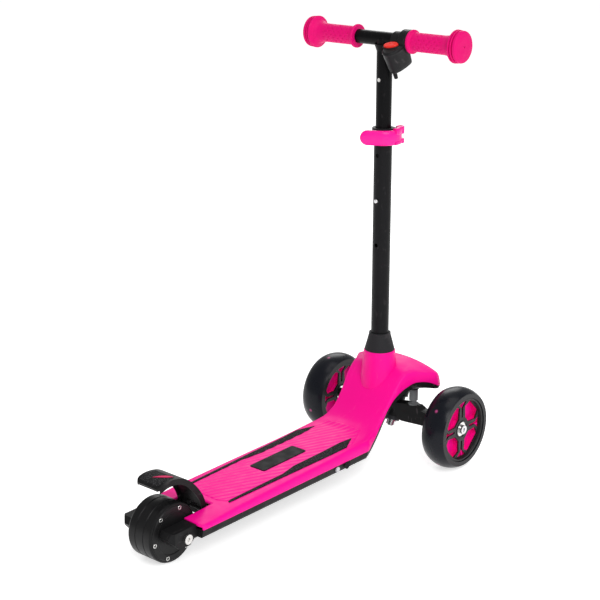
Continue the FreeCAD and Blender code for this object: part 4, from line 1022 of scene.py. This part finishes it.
# ---- grips ------------------------------------------------------------------------------------
@dataclass
class Grip:
    """A rubber grip: dimpled sleeve, inner flange, and a bell with two grooves at its end."""

    shop: Paintshop
    side: Side
    sleeve: float = 13.0
    flange: float = 16.4
    bell: float = 22.4
    bore: float = 9.8
    dimple_pitch: float = 8.4
    dimple_rows: int = 18
    dimple_radius: float = 1.05
    dimple_depth: float = 1.5
    dimple_fall: float = 1.6
    dimples_from: float = 31.0
    dimples_short_of_flange: float = 9.0
    around: int = 180

    def profile(self, length: float) -> np.ndarray:
        """Outline from the screw hole in the end face to the flange.

        Args:
            length: The grip's length in millimetres.

        Returns:
            Rows of (distance from the outer end, radius), in millimetres.
        """
        bell, sleeve, flange = self.bell, self.sleeve, self.flange
        corners = [(3.5, 0.0), (3.5, 1.1), (0.2, 1.1), (0.0, 1.5), (0.15, 12.0), (0.9, bell - 3.6),
                   (2.6, bell - 1.2), (5.0, bell - 0.7), (6.2, bell - 0.9), (6.5, bell - 4.0),
                   (7.9, bell - 4.0), (8.2, bell - 0.5), (9.9, bell - 0.2), (10.2, bell - 3.4),
                   (11.4, bell - 3.4), (11.7, bell), (13.9, bell), (15.4, bell - 2.2),
                   (17.6, bell - 5.6), (21.5, bell - 7.9), (27.0, sleeve + 0.4), (32.0, sleeve),
                   (length - 6.4, sleeve), (length - 5.2, sleeve + 0.5), (length - 4.4, flange - 0.6),
                   (length - 3.6, flange), (length - 1.0, flange), (length - 0.1, flange - 0.9),
                   (length - 0.1, self.bore)]
        return softened(np.array(corners), 0.5, 1)

    def dimples(self, profile: np.ndarray) -> np.ndarray:
        """Depth of the dimples: round hollows on a staggered lattice of rows round the sleeve.

        Args:
            profile: Rows of (distance, radius), in millimetres.

        Returns:
            Depths in millimetres for each profile point and step round the grip.
        """
        along = profile[:, 0:1]
        row = np.linspace(0.0, self.dimple_rows, self.around, endpoint=False)[None, :]
        step = 2 * math.pi * self.sleeve / self.dimple_rows
        depth = np.zeros((len(profile), self.around))
        for stagger in (0, 1):
            a = along / self.dimple_pitch - 0.5 * stagger
            b = (row - stagger) / 2
            gap = np.hypot((a - np.round(a)) * self.dimple_pitch, (b - np.round(b)) * 2 * step)
            depth += np.exp(-(gap / self.dimple_radius) ** 2 * self.dimple_fall)
        first, last = self.dimples_from, profile[:, 0].max() - self.dimples_short_of_flange
        on_sleeve = (profile[:, 0] > first) & (profile[:, 0] < last) & (profile[:, 1] < self.sleeve + 0.2)
        return depth * self.dimple_depth * on_sleeve[:, None]

    def build(self) -> None:
        """Build the grip and put it in the place of its node."""
        node = "grip_" + self.side.word
        low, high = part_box(node)
        length = (high.x - low.x) / MM
        outer = high.x if self.side is Side.RIGHT else low.x
        line = self.profile(length)
        dent = self.dimples(line)
        bore = np.array([(length - 30.0, self.bore), (7.2, self.bore), (7.2, 0.0)])
        dent = np.concatenate([dent, np.zeros((len(bore), self.around))])
        line = np.concatenate([line, bore])
        line[:, 0] *= -self.side.value
        axis = centre_of(node)
        piece = spun_piece("grip_sleeve_" + self.side.word, line * MM, Vector((outer, axis.y, axis.z)), True,
                           self.around, closed=False, dent=dent * MM)
        self.shop.dress(piece, "grip_pink", "handlebar_stem")
        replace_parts(piece, node)


# ---- front wheels -----------------------------------------------------------------------------
@dataclass
class FrontWheel:
    """Looks of one front wheel: lamps in the tyre, and a black lip and hub ring on each face."""

    shop: Paintshop
    side: Side
    centre: Vector
    lip: Outline = ((13.2, 44.45), (13.2, 43.5), (16.6, 43.7), (17.4, 44.2), (17.6, 45.0), (17.6, 47.0),
                    (17.3, 47.45), (17.05, 47.45), (17.05, 44.45))
    hub: Outline = ((12.3, 10.95), (13.6, 10.95), (14.0, 11.5), (14.0, 13.0), (13.6, 13.6), (12.3, 13.6))
    lamp_phase: ClassVar[dict[Side, float]] = {Side.LEFT: 0.167, Side.RIGHT: 0.561}

    def build(self) -> None:
        """Dress the tyre and set the lip and the ring on each face of the rim."""
        tyre = LampTyre("lamp_tyre_" + self.side.word, (0.004, 0.005, 0.0085), specular=0.14, gloss=0.26,
                        dull=0.34, coat=0.05, rub=0.0, drift=0.04, centre=tuple(self.centre),
                        phase=self.lamp_phase[self.side])
        frame["nodes"]["front_tyre_" + self.side.word].material_slots[0].material = tyre.material()
        word = self.side.word
        for face in Side:
            for part, outline in (("lip", self.lip), ("hub", self.hub)):
                profile = np.array(outline) * MM * np.array([face.value, 1.0])
                piece = spun_piece(f"trim_{part}_{word}_{face.word}", profile, self.centre, True, 128)
                self.shop.dress(piece, "trim_black", "front_wheel_" + word)


@dataclass
class RearWheel:
    """Bright seats round the screws on the rear motor's covers."""

    shop: Paintshop
    face: float = 21.6
    circle: float = 33.2
    phase: float = 10.0
    screws: int = 6
    seat: Outline = ((-0.6, 1.7), (0.25, 1.7), (0.5, 2.0), (0.5, 2.6), (0.2, 2.9), (-0.6, 2.9))

    def build(self) -> None:
        """Set a seat round every screw on both covers."""
        axle = centre_of("rear_axle")
        for side in Side:
            for k in range(self.screws):
                angle = math.radians(self.phase + 360.0 * k / self.screws)
                place = axle + Vector((side.value * self.face, -self.circle * math.cos(angle),
                                       -self.circle * math.sin(angle))) * MM
                profile = np.array(self.seat) * MM * np.array([side.value, 1.0])
                piece = spun_piece(f"screw_seat_{side.word}_{k}", profile, place, True, 24)
                self.shop.dress(piece, "screw_steel", "rear_wheel")


# ---- throttle ---------------------------------------------------------------------------------
def closed_curve(corners: np.ndarray, count: int, reach: int) -> np.ndarray:
    """Resample a closed outline evenly and round its corners with a running mean.

    Args:
        corners: The outline's corners in order.
        count: Number of new points.
        reach: How many points on each side the mean takes in.

    Returns:
        The rounded outline.
    """
    loop = np.concatenate([corners, corners[:1]])
    lengths = np.r_[0.0, np.cumsum(np.linalg.norm(np.diff(loop, axis=0), axis=1))]
    places = np.linspace(0.0, lengths[-1], count, endpoint=False)
    line = np.stack([np.interp(places, lengths, loop[:, k]) for k in range(loop.shape[1])], -1)
    offset = np.arange(-reach, reach + 1)
    weight = (reach + 1 - np.abs(offset)).astype(float)
    index = (np.arange(count)[:, None] + offset[None, :]) % count
    return np.einsum("j,ijk->ik", weight / weight.sum(), line[index])


@dataclass
class Throttle:
    """The throttle's rounded body under the bar, drawn with its face flat and then tilted.

    Sizes are in millimetres: x as on the scooter, v up the face, w out of the face.
    """

    shop: Paintshop
    lean: float = 26.0
    behind: float = 20.0
    below: float = 6.4
    depth: float = 37.0
    edge: float = 3.2
    face: Outline = ((18.0, 20.8), (13.6, 5.0), (17.4, -12.6), (26.0, -19.5), (33.8, -19.0), (42.0, -8.3),
                     (44.6, 7.0), (44.0, 20.8))
    foot: Outline = ((19.0, 20.8), (16.4, 5.0), (18.6, -9.5), (24.0, -13.0), (30.5, -12.0), (35.5, -4.5),
                     (38.2, 7.0), (38.6, 20.8))
    button: tuple[float, float] = (25.0, 2.0)
    button_half: tuple[float, float] = (10.8, 6.8)
    button_turn: float = 18.0
    rim: Outline = ((0.0, -5.0), (0.0, 0.2), (0.3, 0.6), (1.3, 0.7), (1.8, 0.3), (2.2, -0.2))
    ring: tuple[float, float, float] = (33.0, 45.6, 16.0)
    lug: tuple[float, float, float] = (18.0, 34.0, 12.2)
    bar_radius: float = 9.75
    around: int = 160

    def outline(self, corners: Outline) -> np.ndarray:
        """Outline of a section, as points at even angles round the button's middle.

        Args:
            corners: The section's corners.

        Returns:
            Rows of (x, v).
        """
        smooth = closed_curve(np.array(corners), 400, 26) - np.array(self.button)
        angle = np.unwrap(np.arctan2(smooth[:, 1], smooth[:, 0]))
        if angle[-1] < angle[0]:
            smooth, angle = smooth[::-1], angle[::-1]
        radius = np.hypot(smooth[:, 0], smooth[:, 1])
        wanted = np.linspace(0.0, 2 * np.pi, self.around, endpoint=False)
        far = np.interp(wanted, angle, radius, period=2 * np.pi)
        return np.stack([far * np.cos(wanted), far * np.sin(wanted)], -1) + np.array(self.button)

    def button_edge(self, grow: float) -> np.ndarray:
        """Oval round the button at the same angles: radius of an ellipse turned by button_turn.

        Args:
            grow: How far the oval lies outside the button's own.

        Returns:
            Rows of (x, v).
        """
        wanted = np.linspace(0.0, 2 * np.pi, self.around, endpoint=False)
        turned = wanted - math.radians(self.button_turn)
        a, b = self.button_half[0] + grow, self.button_half[1] + grow
        radius = a * b / np.sqrt((b * np.cos(turned)) ** 2 + (a * np.sin(turned)) ** 2)
        return np.stack([radius * np.cos(wanted), radius * np.sin(wanted)], -1) + np.array(self.button)

    def body(self) -> np.ndarray:
        """Rings of the body from the hole under the button, over the face and down to the foot.

        Returns:
            Rings by points by (x, v, w).
        """
        face, foot, heart = self.outline(self.face), self.outline(self.foot), np.array(self.button)
        rings = [(self.button_edge(grow), height) for grow, height in self.rim]
        reach = np.linalg.norm(face - heart, axis=1, keepdims=True)
        for turn in np.linspace(0.0, math.pi / 2, 8):
            shrink = self.edge * (1 - math.sin(turn)) / reach
            rings.append((heart + (face - heart) * (1 - shrink), -self.edge * (1 - math.cos(turn))))
        for share in np.linspace(0.12, 0.88, 12):
            rings.append((face + (foot - face) * share, -self.depth * share))
        reach = np.linalg.norm(foot - heart, axis=1, keepdims=True)
        for turn in np.linspace(0.0, math.pi / 2, 8):
            shrink = 1.3 * self.edge * (1 - math.cos(turn)) / reach
            height = -self.depth + self.edge * (1 - math.sin(turn))
            rings.append((heart + (foot - heart) * (1 - shrink), height))
        for share in (0.6, 0.3, 0.0):
            rings.append((heart + (foot - heart) * share, -self.depth))
        return np.stack([np.concatenate([ring, np.full((self.around, 1), w)], 1) for ring, w in rings])

    def tilted(self, points: np.ndarray) -> np.ndarray:
        """Turn drawn points by the lean and carry them under the bar.

        Args:
            points: Rings by points by (x, v, w).

        Returns:
            The same points in metres, as (x, y, z).
        """
        bar = self.bar_axis() / MM
        turn = math.radians(self.lean)
        x, v, w = points[..., 0], points[..., 1], points[..., 2]
        y = v * math.cos(turn) - w * math.sin(turn) + bar.y - self.behind
        z = v * math.sin(turn) + w * math.cos(turn) + bar.z - self.below
        return np.stack([x, y, z], -1) * MM

    def bar_axis(self) -> Vector:
        """The middle of the crossbar's axis, in metres."""
        _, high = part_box("handlebar")
        return Vector((0.0, centre_of("handlebar").y, high.z - self.bar_radius * MM))

    def collar(self, name: str, left: float, right: float, radius: float) -> bpy.types.Object:
        """Build a ring round the bar with rounded edges.

        Args:
            name: The piece's name.
            left: Its left end.
            right: Its right end.
            radius: Its outer radius.

        Returns:
            The new object, dressed and carried by the handlebar.
        """
        bore = self.bar_radius
        outer = softened(np.array([(left, bore), (left, radius), (right, radius), (right, bore)]), 0.4, 4)
        piece = spun_piece(name, outer * MM, self.bar_axis(), True, 96)
        return self.shop.dress(piece, "throttle_black", "handlebar_stem")

    def build(self) -> None:
        """Build the throttle's body, the ring that holds it on the bar and the lug between them."""
        points = self.tilted(self.body())
        body = mesh_piece("throttle_body", points, grid_faces(len(points), self.around, False, True), 50.0)
        self.shop.dress(body, "throttle_black", "handlebar_stem")
        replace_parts(body, "throttle_housing")
        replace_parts(self.collar("throttle_ring", *self.ring), "throttle_base")
        self.collar("throttle_lug", *self.lug)


# ---- clamp lever ------------------------------------------------------------------------------
@dataclass
class ClampLever:
    """The clamp's lever: a cushioned band round the stem with a tail, and two prongs on its pin.

    Every part is a superellipse carried along a line.  Sizes are in millimetres, and places are
    measured from the stem's axis.
    """

    shop: Paintshop
    pivot: tuple[float, float] = (17.0, 16.5)
    first: float = 24.0
    last: float = -62.0
    tail: float = 29.0
    inner: float = 16.8
    outer: float = 26.3
    low: float = 469.0
    top: float = 490.2
    tab_top: float = 493.0
    slot: tuple[float, float] = (475.6, 482.4)
    strap_from: float = -9.0
    strap_short: float = 9.0
    strap_inset: float = 0.6
    strap_half: float = 3.9
    strap_steps: int = 24
    band_steps: int = 70
    knuckle: float = 6.0
    pin: float = 3.3
    power: float = 2.6
    around: int = 56

    def sweep(self, line: np.ndarray, side: np.ndarray, half: float, low: float, top: float,
              share: np.ndarray) -> np.ndarray:
        """Carry a superellipse along a line.

        Args:
            line: Points of the line in the floor plane.
            side: Direction across the line at each point.
            half: Half of the section's thickness.
            low: The section's lowest height.
            top: The section's greatest height.
            share: Share of the full height at each point.

        Returns:
            Rings of points in metres, closed at both ends, in the scooter's own place.
        """
        angle = np.linspace(0.0, 2 * np.pi, self.around, endpoint=False)
        c, s = np.cos(angle), np.sin(angle)
        across = np.sign(c) * np.abs(c) ** (2 / self.power) * half
        along = np.sign(s) * np.abs(s) ** (2 / self.power) * (top - low) / 2
        thin = (0.3 + 0.7 * share ** 0.8)[:, None]
        flat = line[:, None, :] + side[:, None, :] * (across[None, :] * thin)[..., None]
        rings = np.concatenate([flat, ((low + top) / 2 + along[None, :] * share[:, None])[..., None]], -1)
        ends = [np.repeat(rings[k:k + 1].mean(1, keepdims=True), self.around, 1) for k in (0, len(rings) - 1)]
        points = np.concatenate([ends[0], rings, ends[1]]) * MM
        points[..., 1] += centre_of("lower_tube").y
        return points

    def arc(self, start: float, end: float, radius: float, steps: int) -> tuple[np.ndarray, np.ndarray]:
        """Points on a circle round the stem, and the direction outwards at each.

        Args:
            start: First angle from +X, in degrees.
            end: Last angle.
            radius: The circle's radius.
            steps: Number of points.

        Returns:
            The points and the directions.
        """
        turn = np.radians(np.linspace(start, end, steps))
        outward = np.stack([np.cos(turn), np.sin(turn)], -1)
        return outward * radius, outward

    def band(self) -> np.ndarray:
        """Rings of the band and its tail, which ends in a half round.

        Returns:
            Rings by points by (x, y, z), in metres.
        """
        middle, half = (self.inner + self.outer) / 2, (self.top - self.low) / 2
        line, side = self.arc(self.first, self.last, middle, self.band_steps)
        heading = np.array([side[-1, 1], -side[-1, 0]])
        swell = half * np.sin(np.linspace(0.0, math.pi / 2, 26)[1:])
        straight = np.concatenate([np.linspace(0.0, self.tail - half, 20)[1:], self.tail - half + swell])
        over = np.clip((straight - self.tail + half) / half, 0, 1)
        line = np.concatenate([line, line[-1] + straight[:, None] * heading])
        side = np.concatenate([side, np.repeat(side[-1:], len(straight), 0)])
        return self.sweep(line, side, (self.outer - self.inner) / 2, self.low, self.top,
                          np.concatenate([np.ones(self.band_steps), np.sqrt(1 - over ** 2)]))

    def prong(self, name: str, low: float, top: float) -> None:
        """Build one prong: a strap from the band, and an eye round the pin.

        Args:
            name: The piece's name.
            low: Its lowest height.
            top: Its greatest height.
        """
        right, ahead = self.pivot
        end = math.degrees(math.atan2(ahead, right)) - self.strap_short
        radius = math.hypot(right, ahead) - self.strap_inset
        line, side = self.arc(self.strap_from, end, radius, self.strap_steps)
        points = self.sweep(line, side, self.strap_half, low, top, np.ones(self.strap_steps))
        strap = mesh_piece(name + "_strap", points, grid_faces(len(points), self.around, False, True), 60.0)
        self.shop.dress(strap, "lever_pink", "lever")
        corners = [(low, self.pin), (low, self.knuckle), (top, self.knuckle), (top, self.pin)]
        outer = softened(np.array(corners), 0.3, 3)
        centre = Vector((right, ahead, 0.0)) * MM + Vector((0.0, centre_of("lower_tube").y, 0.0))
        eye = spun_piece(name + "_eye", outer * MM, centre, False, 64)
        self.shop.dress(eye, "lever_pink", "lever")

    def build(self) -> None:
        """Build the band and the prongs in the lever's place."""
        points = self.band()
        band = mesh_piece("lever_band", points, grid_faces(len(points), self.around, False, True), 60.0)
        self.shop.dress(band, "lever_pink", "lever")
        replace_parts(band, "clamp_lever")
        self.prong("lever_upper_prong", self.slot[1], self.tab_top)
        self.prong("lever_lower_prong", self.low, self.slot[0])


# ---- fender -----------------------------------------------------------------------------------
@dataclass
class FenderMark:
    """The thin pink stroke inlaid across the fender's pad."""

    shop: Paintshop
    line: Outline = ((34.0, 98.0), (19.0, 108.5), (3.0, 112.5), (-12.0, 112.0), (-24.0, 107.0))
    start: tuple[float, float] = (-3.0, -10.5)
    end: tuple[float, float] = (15.5, 7.5)
    width: float = 5.6
    rise: float = 1.1
    thickness: float = 0.6

    def surface(self, y: np.ndarray) -> np.ndarray:
        """Height of the fender's outside: a quartic in y through the line's five points."""
        line = np.array(self.line)
        return np.polyval(np.polyfit(line[:, 0], line[:, 1], 4), y)

    def build(self) -> None:
        """Build the stroke: a strip whose width swells and dies out along its length."""
        t = np.linspace(0.0, 1.0, 60)[:, None]
        v = np.linspace(-0.5, 0.5, 9)[None, :]
        a, b = np.array(self.start), np.array(self.end)
        along = (b - a) / np.linalg.norm(b - a)
        half = self.width * np.sin(np.pi * t ** 1.5) ** 0.9 + 0.05
        x = a[0] + (b[0] - a[0]) * t - along[1] * v * half
        y = a[1] + (b[1] - a[1]) * t + along[0] * v * half
        z = self.surface(y) + self.rise
        axle = centre_of("rear_axle").y / MM
        piece = sheet_piece("fender_stroke", np.stack([x, y + axle, z], -1) * MM, self.thickness * MM)
        self.shop.dress(piece, "stroke_pink", "fender")


# ---- studio -----------------------------------------------------------------------------------
@dataclass
class Studio:
    """Pale floor, soft lights and the camera."""

    floor_half: float = 30.0
    floor_white: Colour = (0.86, 0.86, 0.86)
    camera_place: Place = (1.2488, -1.4236, 0.8794)
    camera_turn: Place = (73.02, 0.0, 41.09)
    lens: float = 88.69
    sensor: float = 36.0
    shift: tuple[float, float] = (0.0073, -0.0200)
    aim: Place = (0.0, 0.0, 0.2)
    sky: float = 0.46
    floor_glow: float = 0.62

    def floor(self) -> None:
        """Lay the floor with a faint mottle in its paint."""
        half = self.floor_half
        corners = np.array([(-half, -half, 0.0), (half, -half, 0.0), (half, half, 0.0), (-half, half, 0.0)])
        piece = mesh_piece("studio_floor", corners, np.array([[0, 1, 2, 3]]))
        finish = Moulded("studio_floor", self.floor_white, specular=0.2, gloss=0.7, dull=0.8,
                         drift=0.01, rub=0.0)
        paint = finish.material()
        shader = next(n for n in paint.node_tree.nodes if n.type == "BSDF_PRINCIPLED")
        shader.inputs["Emission Color"].default_value = (1.0, 1.0, 1.0, 1.0)
        shader.inputs["Emission Strength"].default_value = self.floor_glow
        piece.data.materials.append(paint)

    def light(self, name: str, place: Place, size: float, power: float) -> None:
        """Hang a soft light that points at the scooter.

        Args:
            name: The light's name.
            place: Where it hangs.
            size: Side of its square face.
            power: Its power in watts.
        """
        data = bpy.data.lights.new(name, "AREA")
        data.shape = "SQUARE"
        data.size = size
        data.energy = power
        lamp = bpy.data.objects.new(name, data)
        lamp.location = place
        lamp.rotation_euler = (Vector(self.aim) - Vector(place)).to_track_quat("-Z", "Y").to_euler()
        bpy.context.scene.collection.objects.link(lamp)

    def build(self) -> None:
        """Set the floor, the lights, the sky and the camera."""
        self.floor()
        self.light("key", (2.2, -1.3, 2.3), 1.7, 56.0)
        self.light("rim", (-1.6, 2.2, 1.7), 1.4, 22.0)
        self.light("top", (0.5, 0.2, 2.9), 1.8, 22.0)
        world = bpy.data.worlds.new("studio")
        world.use_nodes = True
        sky = world.node_tree.nodes["Background"]
        sky.inputs["Color"].default_value = (1.0, 1.0, 1.0, 1.0)
        sky.inputs["Strength"].default_value = self.sky
        scene = bpy.context.scene
        scene.world = world
        scene.view_settings.view_transform = "Standard"
        scene.view_settings.look = "None"
        data = bpy.data.cameras.new("camera")
        data.lens = self.lens
        data.sensor_width = self.sensor
        data.shift_x, data.shift_y = self.shift
        data.clip_end = 100.0
        camera = bpy.data.objects.new("camera", data)
        camera.location = self.camera_place
        camera.rotation_euler = Euler([math.radians(a) for a in self.camera_turn])
        scene.collection.objects.link(camera)
        scene.camera = camera


def main() -> None:
    """Build every sub-assembly in order and report each piece."""
    logging.basicConfig(level=logging.INFO, format="%(message)s")
    shop = Paintshop(finishes())
    shop.dress_frame()
    Deck(shop, CoverShape(centre_of("front_tyre_right").y)).build()
    StemCone(shop).build()
    Throttle(shop).build()
    ClampLever(shop).build()
    FenderMark(shop).build()
    for side in Side:
        Grip(shop, side).build()
        wheel = centre_of("front_tyre_" + side.word)
        FrontWheel(shop, side, wheel).build()
    RearWheel(shop).build()
    Studio().build()


if __name__ == "__main__":
    main()
